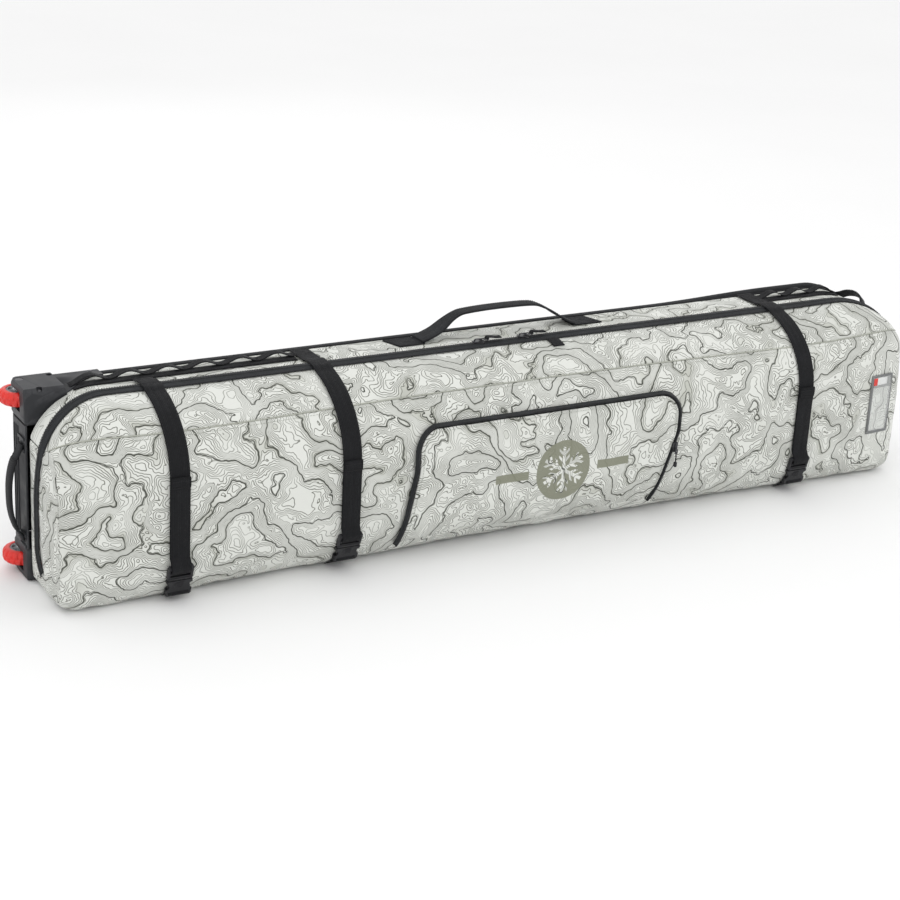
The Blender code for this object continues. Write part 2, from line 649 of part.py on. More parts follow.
def make_pocket():
    rows = []
    rim = POCKET_RIM + 0.001
    low, high = POCKET_Z[0], POCKET_Z[1] - rim
    heights = spread(low, high - POCKET_CORNER * 0.8, 5)
    heights += [high - POCKET_CORNER * share for share in (0.55, 0.32, 0.15, 0.04)]
    for z in heights:
        edges = pocket_side(z, -1, rim), pocket_side(z, 1, rim)
        rows.append([skin(x, turn_at_height(x, z), TRIM_LIFT) for x in spread(*edges, 12)])
    mesh = grid_surface("pocket_panel", rows)
    if mesh.polygons[0].normal.y > 0:
        mesh.flip_normals()
    solidify(add_part("pocket_panel", mesh, "print_fabric", HINGE), POCKET_OUT, 1)

    outline = [(pocket_side(z, -1), z) for z in spread(POCKET_Z[0], POCKET_Z[1] - POCKET_CORNER, 5)]
    left_x = pocket_side(POCKET_Z[1] - POCKET_CORNER, -1) + POCKET_CORNER
    right_x = pocket_side(POCKET_Z[1] - POCKET_CORNER, 1) - POCKET_CORNER
    centre_z = POCKET_Z[1] - POCKET_CORNER
    for a in spread(math.pi, math.pi / 2, 6)[1:]:
        outline.append((left_x + POCKET_CORNER * math.cos(a), centre_z + POCKET_CORNER * math.sin(a)))
    outline += [(x, POCKET_Z[1]) for x in spread(left_x, right_x, 8)[1:]]
    for a in spread(math.pi / 2, 0, 6)[1:]:
        outline.append((right_x + POCKET_CORNER * math.cos(a), centre_z + POCKET_CORNER * math.sin(a)))
    outline += [(pocket_side(z, 1), z) for z in spread(centre_z, POCKET_Z[0], 5)[1:]]
    places = []
    for i, (x, z) in enumerate(outline):
        ahead = outline[min(i + 1, len(outline) - 1)]
        behind = outline[max(i - 1, 0)]
        point = skin(x, turn_at_height(x, z), TRIM_LIFT)
        run = skin(ahead[0], turn_at_height(*ahead)) - skin(behind[0], turn_at_height(*behind))
        normal = skin_normal(x, turn_at_height(x, z))
        places.append((point, normal.cross(run).normalized(), normal))
    inward = [(p - a * POCKET_RIM / 2, a, n) for p, a, n in places]
    ribbon("pocket_zip_rim", inward, "zip_tape", POCKET_RIM, POCKET_OUT + 0.001, HINGE)


def make_pocket_slider():
    z = POCKET_PULL_Z
    x = pocket_side(z, 1) - POCKET_RIM / 2
    y = skin(x, turn_at_height(x, z)).y - POCKET_OUT - TRIM_LIFT - 0.0020
    body = box_mesh("pocket_slider", (x - 0.006, y - 0.005, z - 0.010), (x + 0.006, y, z + 0.010))
    round_edges(add_part("pocket_slider", body, "zip_metal", (x, y, z)), 0.0012, 1)
    pivot = (x, y - 0.0074, z - 0.004)
    top = z - 0.002
    low, high = (x - 0.0035, y - 0.0086, top - POCKET_PULL_LONG), (x + 0.0035, y - 0.0062, top)
    round_edges(add_part("pocket_pull", box_mesh("pocket_pull", low, high), "webbing", pivot), 0.0009, 1)


# ---- straps and buckles ----
def buckle_frame(name, x):
    """Where a buckle sits on the lower front corner: its top point, and the way down and out from there."""
    first = turn_at_height(x, BUCKLE_Z[name])
    point = skin(x, first)
    last = first
    while (skin(x, last) - point).length < PLUG_LONG + SOCKET_LONG:
        last += 0.005
    down = (skin(x, last) - point).normalized()
    out = down.cross(Vector((1, 0, 0)))
    crown = max((skin(x, turn) - point).dot(out) for turn in spread(first, last, 20))
    return point + out * (crown + BUCKLE_CLEAR), down, out


def oriented_box(point, down, out, width, start, end, near, far):
    """Corners of a box in a buckle's own frame: X across, start to end down, near to far outwards."""
    bm = bmesh.new()
    bmesh.ops.create_cube(bm, size=1.0)
    size = (width, end - start, far - near)
    bmesh.ops.scale(bm, vec=size, verts=bm.verts)
    bmesh.ops.translate(bm, vec=(0, (start + end) / 2, (near + far) / 2), verts=bm.verts)
    turn = Matrix((down.cross(out), down, out)).transposed().to_4x4()
    turn.translation = point
    bm.transform(turn)
    return mesh_from(bm, "block")


def make_straps():
    for name, (x, top_y) in STRAPS.items():
        point, down, out = buckle_frame(name, x)
        top_turn = turn_on_top(x, top_y)
        last = turn_at_height(x, BUCKLE_Z[name] + 0.003)
        turns = [top_turn] + [turn for turn in spread(1, 1.875, 7) if turn > top_turn + 0.02]
        turns += [TAIL_TURN, TAIL_TURN + 0.02] + spread(2, last, 9)
        bm = bmesh.new()
        rows = []
        for t in turns:
            thick = WEB_THICK if t <= TAIL_TURN + 0.001 else 2 * WEB_THICK + 0.0004
            near, far = skin(x, t, WEB_LIFT), skin(x, t, WEB_LIFT + thick)
            step = Vector((WEB_WIDE / 2, 0, 0))
            rows.append([bm.verts.new(p) for p in (near - step, near + step, far + step, far - step)])
        for lower, upper in zip(rows, rows[1:]):
            for i in range(4):
                bm.faces.new((lower[i], lower[(i + 1) % 4], upper[(i + 1) % 4], upper[i]))
        bm.faces.new(rows[0])
        bm.faces.new(rows[-1])
        bmesh.ops.recalc_face_normals(bm, faces=bm.faces)
        add_part(f"strap_{name}_webbing", mesh_from(bm, name), "webbing", point)

        block = oriented_box(point, down, out, BUCKLE_WIDE, 0.0, PLUG_LONG, 0.0, BUCKLE_THICK)
        plug = add_part(f"strap_{name}_plug", block, "buckle_plastic", point)
        window = oriented_box(point, down, out, WEB_WIDE, 0.006, 0.012, -0.01, 0.03)
        boolean(plug, add_cutter(f"ladder_window_{name}", window))
        window = oriented_box(point, down, out, WEB_WIDE, 0.017, 0.023, -0.01, 0.03)
        boolean(plug, add_cutter(f"ladder_window_low_{name}", window))
        for side in (-1, 1):
            shift = Vector((side * 0.0165, 0, 0))
            start = PLUG_LONG - 0.002
            prong = oriented_box(point + shift, down, out, 0.005, start, PLUG_LONG + PRONG_LONG, 0.003, 0.007)
            boolean(plug, add_cutter(f"prong_{name}_{side}", prong), "UNION")
        round_edges(plug, 0.0008, 1)

        start = PLUG_LONG + 0.0006
        end = start + SOCKET_LONG
        block = oriented_box(point, down, out, BUCKLE_WIDE, start, end, 0.0, BUCKLE_THICK)
        socket = add_part(f"strap_{name}_socket", block, "buckle_plastic", HINGE)
        mouth = oriented_box(point, down, out, 0.042, start - 0.01, start + PRONG_LONG + 0.001, 0.0022, 0.0078)
        boolean(socket, add_cutter(f"socket_mouth_{name}", mouth))
        bar = oriented_box(point, down, out, WEB_WIDE, end - 0.009, end - 0.004, -0.01, 0.03)
        boolean(socket, add_cutter(f"socket_bar_{name}", bar))
        round_edges(socket, 0.0008, 1)


def make_lower_webbing():
    """Short webbing from under each socket to the sewn edge below the bag."""
    for name, (x, _) in STRAPS.items():
        point, down, out = buckle_frame(name, x)
        low = point + down * (PLUG_LONG + SOCKET_LONG + ANCHOR_BELOW)
        turns = spread(turn_below(x, low.y), turn_at_height(x, ANCHOR_FOOT), 3)
        places = [(skin(x, t, TRIM_LIFT), (1, 0, 0), skin_normal(x, t)) for t in turns]
        ribbon(f"strap_{name}_anchor", places, "webbing", WEB_WIDE, WEB_THICK, HINGE)


# ---- handles and trim ----
def band(name, rows, origin):
    """A webbing band through rows of two points, its two edges."""
    solidify(add_part(name, grid_surface(name, rows), "webbing", origin), HANDLE_THICK, 0)


def make_carry_handle():
    top = HEIGHT + HANDLE_LIFT
    low_y, high_y = HANDLE_Y
    lifts = [top + lift for lift in reversed(CARRY_FOOT)]
    start = list(zip(CARRY_WHEEL_SIDE, lifts))
    end = list(zip(CARRY_TIP_SIDE, lifts))
    outline = [*start, *CARRY_BOW, *reversed(end)]
    rows = [[Vector((x, y, z)) for y in (low_y, high_y)] for x, z in outline]
    band("carry_handle", rows, (CARRY_TURN_X, high_y, top))
    for name, (start, end) in CARRY_ANCHORS.items():
        patch = box_mesh(name, (start, low_y, HEIGHT + GAP), (end, high_y, top))
        round_edges(add_part("carry_handle_anchor_" + name, patch, "webbing"), 0.0008, 1)


def make_end_handles():
    x = HOUSING_LOW[0] - WHEEL_HANDLE_GAP
    rows = [[Vector((x + out, y, z)) for y in WHEEL_HANDLE_Y] for out, z in WHEEL_HANDLE_BOW]
    middle_z = (WHEEL_HANDLE_BOW[0][1] + WHEEL_HANDLE_BOW[-1][1]) / 2
    band("wheel_end_handle", rows, (x, WHEEL_HANDLE_Y[1], middle_z))

    out = Vector((1, 0, 1)).normalized()
    half = Vector((1, 0, -1)).normalized() * TIP_HANDLE_WIDE / 2
    foot = skin(TIP_HANDLE_X, 0) + out * 0.005
    rows = [
        [Vector((foot.x, y, foot.z)) + out * bow + step for step in (half, -half)]
        for bow, y in TIP_HANDLE_BOW
    ]
    band("tip_end_handle", rows, rows[0][0])


def make_daisy_chains():
    for name, (start, end) in DAISY_CHAINS.items():
        xs = [start] + [x for x in body_stations(start, end) if start + 0.005 < x < end - 0.005] + [end]
        places = []
        for x in xs:
            turn = turn_on_top(x, CHAIN_Y)
            places.append((skin(x, turn, 0.0006), (0, -1, 0), skin_normal(x, turn)))
        ribbon("daisy_chain_" + name, places, "webbing", CHAIN_WIDE, 0.0025)


def make_identity_window():
    for name, finish, grow, out, thick in (
        ("identity_frame", "moulding", 0.0, 0.0012, 0.0014),
        ("identity_window", "clear_window", -CARD_OVERLAP, 0.0030, 0.0010),
    ):
        rows = [
            [skin(x, turn_at_height(x, z), out) for x in spread(CARD_X[0] - grow, CARD_X[1] + grow, 6)]
            for z in spread(CARD_Z[0] - grow, CARD_Z[1] + grow, 6)
        ]
        mesh = grid_surface(name, rows)
        if mesh.polygons[0].normal.y > 0:
            mesh.flip_normals()
        solidify(add_part(name, mesh, finish, HINGE), thick, 1)


def main():
    clear_scene()
    collections["parts"] = new_collection("ski_bag")
    collections["cutters"] = new_collection("ski_bag_cutters")
    make_base()
    make_side_walls()
    make_end_walls()
    make_kick_plate()
    for name, base in HOUSING_BASE.items():
        middle, outer = make_housing(name, base)
        make_wheel(name, middle, outer)
    make_lid()
    make_main_zip()
    for name, x in SLIDERS.items():
        make_slider("zip_slider_" + name, x, HEIGHT + SLIDER_LIFT)
    make_pocket()
    make_pocket_slider()
    make_straps()
    make_lower_webbing()
    make_carry_handle()
    make_end_handles()
    make_daisy_chains()
    make_identity_window()


main()
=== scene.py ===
"""Ski bag lying on its side: everything that shows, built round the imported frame. Metres, +Z up."""

import math
from contextlib import contextmanager

import bmesh
import bpy
from mathutils import Matrix, Vector, noise


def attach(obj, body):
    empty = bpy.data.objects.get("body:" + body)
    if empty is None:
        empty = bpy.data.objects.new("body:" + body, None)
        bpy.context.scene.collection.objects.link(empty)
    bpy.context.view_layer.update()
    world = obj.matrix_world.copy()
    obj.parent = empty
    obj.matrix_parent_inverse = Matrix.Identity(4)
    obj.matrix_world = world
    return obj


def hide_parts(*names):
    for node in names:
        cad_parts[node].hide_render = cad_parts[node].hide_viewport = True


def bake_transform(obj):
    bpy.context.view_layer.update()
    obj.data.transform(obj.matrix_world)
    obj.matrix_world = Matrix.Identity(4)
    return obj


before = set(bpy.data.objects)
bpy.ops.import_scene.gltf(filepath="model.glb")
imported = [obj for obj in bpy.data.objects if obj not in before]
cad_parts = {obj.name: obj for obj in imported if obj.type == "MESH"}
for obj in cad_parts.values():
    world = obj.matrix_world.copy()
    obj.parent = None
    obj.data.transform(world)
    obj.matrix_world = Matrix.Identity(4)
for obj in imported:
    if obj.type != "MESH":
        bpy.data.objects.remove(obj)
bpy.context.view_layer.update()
scene = bpy.context.scene

# ---- the bag's own sizes, as in the CAD ----
LENGTH = 1.86
HEIGHT = 0.36
BACK_Y = 0.103
FRONT_END = 0.137
FRONT_SWELL = 0.027
SWELL_POWER = 2.5
CORNER_TOP = ((0.160, 0.140), (0.090, 0.080))
CORNER_LOW = ((0.100, 0.120), (0.035, 0.035))
CORNER_POWER = (6.0, 2.0)
END_ROUND = 0.045
END_INSET = 0.018
TOP_ROUND = {-1: (0.120, 0.085), 1: (0.120, 0.050)}
BASE_STEP = 0.020
BASE_EDGE_Y = 0.084
ZIP_Y = -0.012
ZIP_CORNER = 0.028
ZIP_FOOT = (-0.050, 0.036)
ZIP_TURN = 0.085
ZIP_TAPE = 0.013
ZIP_PEAK = 0.0030        # the zip's coil stands this far above the cloth
SEAM_Y = -0.118
LID_EDGE_Y = -0.080
WEB_WIDE = 0.038
WEB_THICK = 0.0018
WEB_LIFT = 0.0032
TRIM_LIFT = 0.0022
STRAPS = {"wheel_end": (-0.720, 0.022), "middle": (-0.391, 0.080), "tip_end": (0.648, 0.080)}
TAIL_TURN = 1.96
BUCKLE_Z = {"wheel_end": 0.080, "middle": 0.090, "tip_end": 0.088}
SOCKET_LONG = 0.034
PLUG_LONG = 0.030
BUCKLE_WIDE = 0.048
BUCKLE_CLEAR = 0.0010
ANCHOR_BELOW = 0.007
ANCHOR_FOOT = 0.005
WHEEL = (-0.923, 0.096)
WHEEL_RADIUS = 0.036
WHEEL_HALF = 0.013
WHEEL_Z = {"upper": 0.334, "lower": 0.030}
HOUSING_LOW = (-0.935, 0.030)
HOUSING_HIGH = (-0.858, 0.113)
HOUSING_Z = {"upper": (0.300, 0.364), "lower": (0.0, 0.064)}
POCKET_Z = (0.048, 0.272)
POCKET_FOOT = {-1: (-0.292, 0.028), 1: (0.285, 0.048)}
POCKET_CORNER = 0.050
POCKET_RIM = 0.012
POCKET_OUT = 0.008
HALF = LENGTH / 2 - 0.001
CLOTH_CELL = 0.012      # spacing of the fabric's grid before it is smoothed
SETTLE_FRAMES = 14
GUSSET_SINK = 0.0016    # the end panels' outer edge lies this far inside the skin
SEAM_GAP = 0.0002       # half the gap between two panels that a welt covers
BASE_SEAM_Y = 0.0825    # the walls' edge under the base's wrapped edge
HOUSING_SEAM_Y = 0.0275  # and beside the wheel housings
HOUSING_IN_X = -0.8555
WINDOW_X = (0.833, 0.893)
WINDOW_Z = (0.102, 0.232)
HANDLE_THICK = 0.0032
HANDLE_SINK = HANDLE_THICK / 2
X_AXIS = Vector((1, 0, 0))
Y_AXIS = Vector((0, 1, 0))
Z_AXIS = Vector((0, 0, 1))


# ---- the bag's outer skin, as in the CAD ----
def swell(x):
    return FRONT_END + FRONT_SWELL * (1 - min(1.0, abs(2 * x / LENGTH)) ** SWELL_POWER)


def corner_radii(x):
    shares = [abs(2 * x / LENGTH) ** power for power in CORNER_POWER]
    return [
        tuple(middle + (end - middle) * share for middle, end in zip(*corner))
        for corner, share in zip((CORNER_TOP, CORNER_LOW), shares)
    ]


def smooth(share):
    share = min(1.0, max(0.0, share))
    return share * share * (3 - 2 * share)


def end_curve(x, reach, depth):
    past = min(1.0, max(0.0, (abs(x) - LENGTH / 2 + reach) / reach)) * 0.95
    return depth * (1 - math.sqrt(1 - past * past)) / (1 - math.sqrt(1 - 0.95**2))


def draw_in(x, y, turn):
    top = smooth(1 - (turn - 1) / 1.5)
    plain = end_curve(x, END_ROUND, END_INSET)
    drawn = plain + (end_curve(x, *TOP_ROUND[1 if x > 0 else -1]) - plain) * top
    return drawn * smooth((BASE_EDGE_Y - y) / BASE_STEP) if x < 0 else drawn


def skin(x, turn, out=0.0):
    """A point of the section at x. turn: 0-1 top, 1-2 upper corner, 2-3 front, 3-4 lower corner, 4-5 under."""
    front = swell(x)
    upper, lower = corner_radii(x)
    top_y = upper[0] - front
    top_z = HEIGHT - upper[1]
    low_y = lower[0] - front
    low_z = lower[1]
    if turn <= 1:
        y, z, normal = BACK_Y + (top_y - BACK_Y) * turn, HEIGHT, (0, 1)
    elif turn <= 2:
        a = (turn - 1) * math.pi / 2
        y, z = top_y - upper[0] * math.sin(a), top_z + upper[1] * math.cos(a)
        normal = (-math.sin(a) / upper[0], math.cos(a) / upper[1])
    elif turn <= 3:
        y, z, normal = -front, top_z + (low_z - top_z) * (turn - 2), (-1, 0)
    elif turn <= 4:
        a = (turn - 3) * math.pi / 2
        y, z = low_y - lower[0] * math.cos(a), low_z - lower[1] * math.sin(a)
        normal = (-math.cos(a) / lower[0], -math.sin(a) / lower[1])
    else:
        y, z, normal = low_y + (BACK_Y - low_y) * (turn - 4), 0.0, (0, -1)
    shift = (out - draw_in(x, y, turn)) / math.hypot(*normal)
    return Vector((x, y + normal[0] * shift, z + normal[1] * shift))


def turn_on_top(x, y):
    radius = corner_radii(x)[0][0]
    top_y = radius - swell(x)
    if y >= top_y:
        return (BACK_Y - y) / (BACK_Y - top_y)
    return 1 + math.asin(min(1.0, (top_y - y) / radius)) / (math.pi / 2)


def turn_below(x, y):
    radius = corner_radii(x)[1][0]
    low_y = radius - swell(x)
    if y >= low_y:
        return 4 + (y - low_y) / (BACK_Y - low_y)
    return 3 + math.acos(min(1.0, (low_y - y) / radius)) / (math.pi / 2)


def turn_at_height(x, z):
    upper, lower = (radii[1] for radii in corner_radii(x))
    top_z = HEIGHT - upper
    if z > top_z:
        return 1 + math.acos(min(1.0, (z - top_z) / upper)) / (math.pi / 2)
    if z > lower:
        return 2 + (top_z - z) / (top_z - lower)
    return 3 + math.asin(min(1.0, (lower - z) / lower)) / (math.pi / 2)


def skin_normal(x, turn):
    return (skin(x, turn, 0.001) - skin(x, turn)).normalized()


def surface_normal(x, turn):
    """The skin's true normal, which leans outwards where the bag rounds off at an end."""
    along = skin(min(x + 0.002, HALF), turn) - skin(max(x - 0.002, -HALF), turn)
    across = skin(x, min(turn + 0.01, 5)) - skin(x, max(turn - 0.01, 0))
    return across.cross(along).normalized()


def zip_y(x):
    return ZIP_Y - ZIP_CORNER * max(0.0, (abs(x) - LENGTH / 2 + 0.13) / 0.13) ** 2


def zip_corner(side):
    x = side * LENGTH / 2
    return skin(x, turn_on_top(x, zip_y(x)))


def zip_line(z, side):
    corner = zip_corner(side)
    if z > 0.16:
        return ZIP_Y + (corner.y - ZIP_Y) * ((z - 0.16) / (corner.z - 0.16)) ** 2
    if z > ZIP_TURN:
        return ZIP_Y
    share = (ZIP_TURN - z) / (ZIP_TURN - ZIP_FOOT[1])
    return ZIP_Y + (ZIP_FOOT[0] - ZIP_Y) * share * share


def spread(start, end, count):
    return [start + (end - start) * i / count for i in range(count + 1)]


def length_of(points):
    return sum((b - a).length for a, b in zip(points, points[1:]))


def resample(points, count):
    """The same line through points evenly spaced along it."""
    lengths = [0.0]
    for a, b in zip(points, points[1:]):
        lengths.append(lengths[-1] + (b - a).length)
    made = []
    at = 0
    for target in spread(0, lengths[-1], count):
        while at < len(points) - 2 and lengths[at + 1] < target:
            at += 1
        run = max(lengths[at + 1] - lengths[at], 1e-9)
        made.append(points[at].lerp(points[at + 1], min(1.0, (target - lengths[at]) / run)))
    return made


def smooth_path(points, per=8):
    """A Catmull-Rom curve through the points."""
    ends = [points[0] * 2 - points[1], *points, points[-1] * 2 - points[-2]]
    made = []
    for a, b, c, d in zip(ends, ends[1:], ends[2:], ends[3:]):
        for i in range(per):
            t = i / per
            made.append(
                b + (c - a) * t / 2 + (a * 2 - b * 5 + c * 4 - d) * t**2 / 2
                + (b * 3 - a - c * 3 + d) * t**3 / 2
            )
    return made + [points[-1]]


# ---- shader graphs ----
class Graph:
    """Short names for the nodes that the materials are made of."""

    def __init__(self, name):
        self.material = bpy.data.materials.new(name)
        self.material.use_nodes = True
        self.tree = self.material.node_tree
        self.shader = self.tree.nodes["Principled BSDF"]

    def put(self, value, socket):
        if isinstance(value, bpy.types.NodeSocket):
            self.tree.links.new(value, socket)
        else:
            socket.default_value = value

    def node(self, kind, inputs=(), **settings):
        made = self.tree.nodes.new(kind)
        for key, value in settings.items():
            setattr(made, key, value)
        for key, value in dict(inputs).items():
            self.put(value, made.inputs[key])
        return made

    def math(self, operation, a, b=0.0, c=0.5):
        return self.node("ShaderNodeMath", {0: a, 1: b, 2: c}, operation=operation).outputs[0]

    def vector(self, operation, a, b=(0, 0, 0)):
        return self.node("ShaderNodeVectorMath", {0: a, 1: b}, operation=operation).outputs[0]

    def scaled(self, a, factor):
        made = self.node("ShaderNodeVectorMath", {0: a, "Scale": factor}, operation="SCALE")
        return made.outputs[0]

    def ramp(self, value, low, high, start=0.0, end=1.0):
        names = {"Value": value, "From Min": low, "From Max": high, "To Min": start, "To Max": end}
        made = self.node("ShaderNodeMapRange", names, interpolation_type="SMOOTHSTEP")
        return made.outputs[0]

    def mix(self, factor, a, b, blend="MIX"):
        made = self.node("ShaderNodeMix", data_type="RGBA", blend_type=blend)
        self.put(factor, made.inputs[0])
        for value, socket in ((a, made.inputs[6]), (b, made.inputs[7])):
            self.put((*value, 1.0) if isinstance(value, tuple) else value, socket)
        return made.outputs[2]

    def noise(self, vector, scale, detail=2.0, rough=0.5, output="Fac"):
        names = {"Vector": vector, "Scale": scale, "Detail": detail, "Roughness": rough}
        return self.node("ShaderNodeTexNoise", names).outputs[output]

    def uv(self):
        return self.node("ShaderNodeUVMap", uv_map="cloth").outputs["UV"]

    def place(self):
        return self.node("ShaderNodeTexCoord").outputs["Object"]

    def split(self, vector):
        return self.node("ShaderNodeSeparateXYZ", {0: vector}).outputs

    def join(self, x, y, z=0.0):
        return self.node("ShaderNodeCombineXYZ", {0: x, 1: y, 2: z}).outputs[0]

    def wave(self, value, pitch):
        """A sine along a coordinate, from 0 to 1."""
        turned = self.math("SINE", self.math("MULTIPLY", value, 2 * math.pi / pitch))
        return self.math("MULTIPLY_ADD", turned, 0.5, 0.5)

    def bump(self, height, distance, strength=1.0):
        names = {"Height": height, "Distance": distance, "Strength": strength}
        return self.node("ShaderNodeBump", names).outputs[0]

    def finish(self, colour, roughness, normal=None, **constants):
        self.put((*colour, 1.0) if isinstance(colour, tuple) else colour, self.shader.inputs["Base Color"])
        self.put(roughness, self.shader.inputs["Roughness"])
        if normal:
            self.put(normal, self.shader.inputs["Normal"])
        for key, value in constants.items():
            self.shader.inputs[key.replace("_", " ").title().replace("Ior", "IOR")].default_value = value
        return self.material


def plain_weave(g, at, pitch):
    """Crossing threads: 0 to 1, from a flat coordinate pair."""
    x, y, _ = g.split(at)
    over = g.math("SINE", g.math("MULTIPLY", x, math.pi / pitch))
    under = g.math("SINE", g.math("MULTIPLY", y, math.pi / pitch))
    return g.math("MULTIPLY_ADD", g.math("MULTIPLY", over, under), 0.5, 0.5)


LIGHT_CLOTH = (0.745, 0.757, 0.715)
FINE_INK = (0.125, 0.130, 0.105)
DARK_INK = (0.030, 0.033, 0.022)
OLIVE_INK = (0.215, 0.222, 0.160)


def land_height(g, at):
    """Height of an invented landscape: a noise bent by finer noise, so that its contours wander and kink."""
    coarse = g.vector("SUBTRACT", g.noise(at, 9.0, 2.0, 0.5, "Color"), (0.5, 0.5, 0.5))
    fine = g.vector("SUBTRACT", g.noise(at, 34.0, 2.0, 0.55, "Color"), (0.5, 0.5, 0.5))
    moved = g.vector("ADD", at, g.vector("ADD", g.scaled(coarse, 0.13), g.scaled(fine, 0.024)))
    return g.noise(moved, 6.6, 2.0, 0.36)


def contour_print(name, shift, emblem=False):
    """Light cloth printed with contour lines of an invented landscape, about every tenth one drawn heavily."""
    g = Graph(name)
    uv = g.uv()
    at = g.vector("ADD", uv, shift)
    step = 0.0012
    here = land_height(g, at)
    slopes = [
        g.math("DIVIDE", g.math("SUBTRACT", land_height(g, g.vector("ADD", at, ahead)), here), step)
        for ahead in ((step, 0, 0), (0, step, 0))
    ]
    squares = [g.math("MULTIPLY", slope, slope) for slope in slopes]
    steep = g.math("ADD", g.math("SQRT", g.math("ADD", *squares)), 0.15)

    def lines(levels, half_width):
        level = g.math("FRACT", g.math("MULTIPLY", here, levels))
        away = g.math("ABSOLUTE", g.math("SUBTRACT", level, 0.5))
        distance = g.math("DIVIDE", away, g.math("MULTIPLY", steep, levels))
        return g.ramp(distance, half_width * 1.5, half_width * 0.5), level

    fine, _ = lines(92.0, 0.00064)
    heavy, level = lines(9.0, 0.00100)
    patches = g.ramp(g.noise(at, 5.0, 1.0), 0.40, 0.60)
    below = g.math("MULTIPLY", g.ramp(level, 0.50, 0.80, 1.0, 0.0), g.math("GREATER_THAN", level, 0.5))
    above = g.ramp(level, 0.30, 0.50)
    above = g.math("MULTIPLY", above, g.math("LESS_THAN", level, 0.5))
    shade = g.math("MULTIPLY", g.math("MAXIMUM", below, g.math("MULTIPLY", above, 0.6)), patches)
    colour = g.mix(g.noise(uv, 2.2, 2.0), LIGHT_CLOTH, tuple(c * 0.965 for c in LIGHT_CLOTH))
    colour = g.mix(g.math("MULTIPLY", shade, 0.46), colour, OLIVE_INK)
    faded = g.ramp(g.noise(at, 11.0, 1.0), 0.30, 0.60, 0.55, 1.0)
    thinned = g.math("MULTIPLY", faded, g.ramp(steep, 2.5, 7.5, 1.0, 0.36))
    colour = g.mix(g.math("MULTIPLY", fine, thinned), colour, FINE_INK)
    worn = g.ramp(g.noise(at, 60.0, 2.0), 0.30, 0.45, 0.72, 1.0)
    colour = g.mix(g.math("MULTIPLY", heavy, worn), colour, DARK_INK)
    if emblem:
        colour = g.mix(snowflake(g, uv), colour, OLIVE_INK)
    threads = plain_weave(g, uv, 0.0011)
    colour = g.mix(g.math("MULTIPLY", threads, 0.10), colour, (0.0, 0.0, 0.0))
    rough = g.math("MULTIPLY_ADD", g.noise(uv, 40.0, 2.0), 0.16, 0.60)
    return g.finish(colour, rough, g.bump(threads, 0.00018, 0.6), sheen_weight=0.12, sheen_roughness=0.4)


EMBLEM_AT = (0.055, 0.150)      # middle of the printed snowflake: place along the bag, and height
EMBLEM_SIZE = 0.060


def snowflake(g, uv):
    """A plain round badge with a six-armed snowflake left clear in it, between two bars, as a mask."""
    x, y, _ = g.split(g.vector("SUBTRACT", uv, (*EMBLEM_AT, 0)))
    radius = g.math("SQRT", g.math("ADD", g.math("MULTIPLY", x, x), g.math("MULTIPLY", y, y)))
    sixth = math.pi / 3
    angle = g.math("ADD", g.math("ARCTAN2", x, y), 4 * sixth)
    folded = g.math("SUBTRACT", g.math("MODULO", g.math("ADD", angle, sixth / 2), sixth), sixth / 2)
    along = g.math("MULTIPLY", radius, g.math("COSINE", folded))
    aside = g.math("ABSOLUTE", g.math("MULTIPLY", radius, g.math("SINE", folded)))

    def stroke(distance, half_width):
        return g.ramp(distance, half_width + 0.0006, half_width - 0.0006)

    def inside(value, low, high):
        above = g.ramp(value, low - 0.0006, low + 0.0006)
        return g.math("MULTIPLY", above, g.ramp(value, high + 0.0006, high - 0.0006))

    flake = g.math("MULTIPLY", stroke(aside, 0.0034), inside(along, -0.01, EMBLEM_SIZE * 0.78))
    for start in (0.016, 0.030):
        lean = g.math("SUBTRACT", g.math("SUBTRACT", along, start), aside)
        branch = g.math("MULTIPLY", stroke(g.math("ABSOLUTE", lean), 0.0032), inside(aside, -0.01, 0.012))
        flake = g.math("MAXIMUM", flake, branch)
    badge = g.math("MULTIPLY", stroke(radius, EMBLEM_SIZE), g.math("SUBTRACT", 1.0, flake))
    wide = g.math("ABSOLUTE", x)
    bars = g.math("MULTIPLY", inside(wide, 0.078, 0.150), stroke(g.math("ABSOLUTE", y), 0.0085))
    return g.math("MULTIPLY", g.math("MAXIMUM", badge, bars), 0.94)


def dark_weave(name, colour, pitch, sheen=0.03):
    """Dark woven cloth with faded threads and scuffs."""
    g = Graph(name)
    at = g.place()
    x, y, z = g.split(at)
    threads = plain_weave(g, g.join(g.math("ADD", x, y), g.math("ADD", z, y)), pitch)
    worn = g.ramp(g.noise(at, 14.0, 4.0, 0.6), 0.52, 0.75)
    base = g.mix(threads, tuple(c * 0.72 for c in colour), tuple(c * 1.35 for c in colour))
    base = g.mix(g.math("MULTIPLY", worn, 0.35), base, tuple(c * 2.1 for c in colour))
    rough = g.ramp(threads, 0.0, 1.0, 0.82, 0.62)
    normal = g.bump(threads, pitch * 0.30, 0.8)
    return g.finish(base, rough, normal, sheen_weight=sheen, sheen_roughness=0.45, specular_ior_level=0.22)


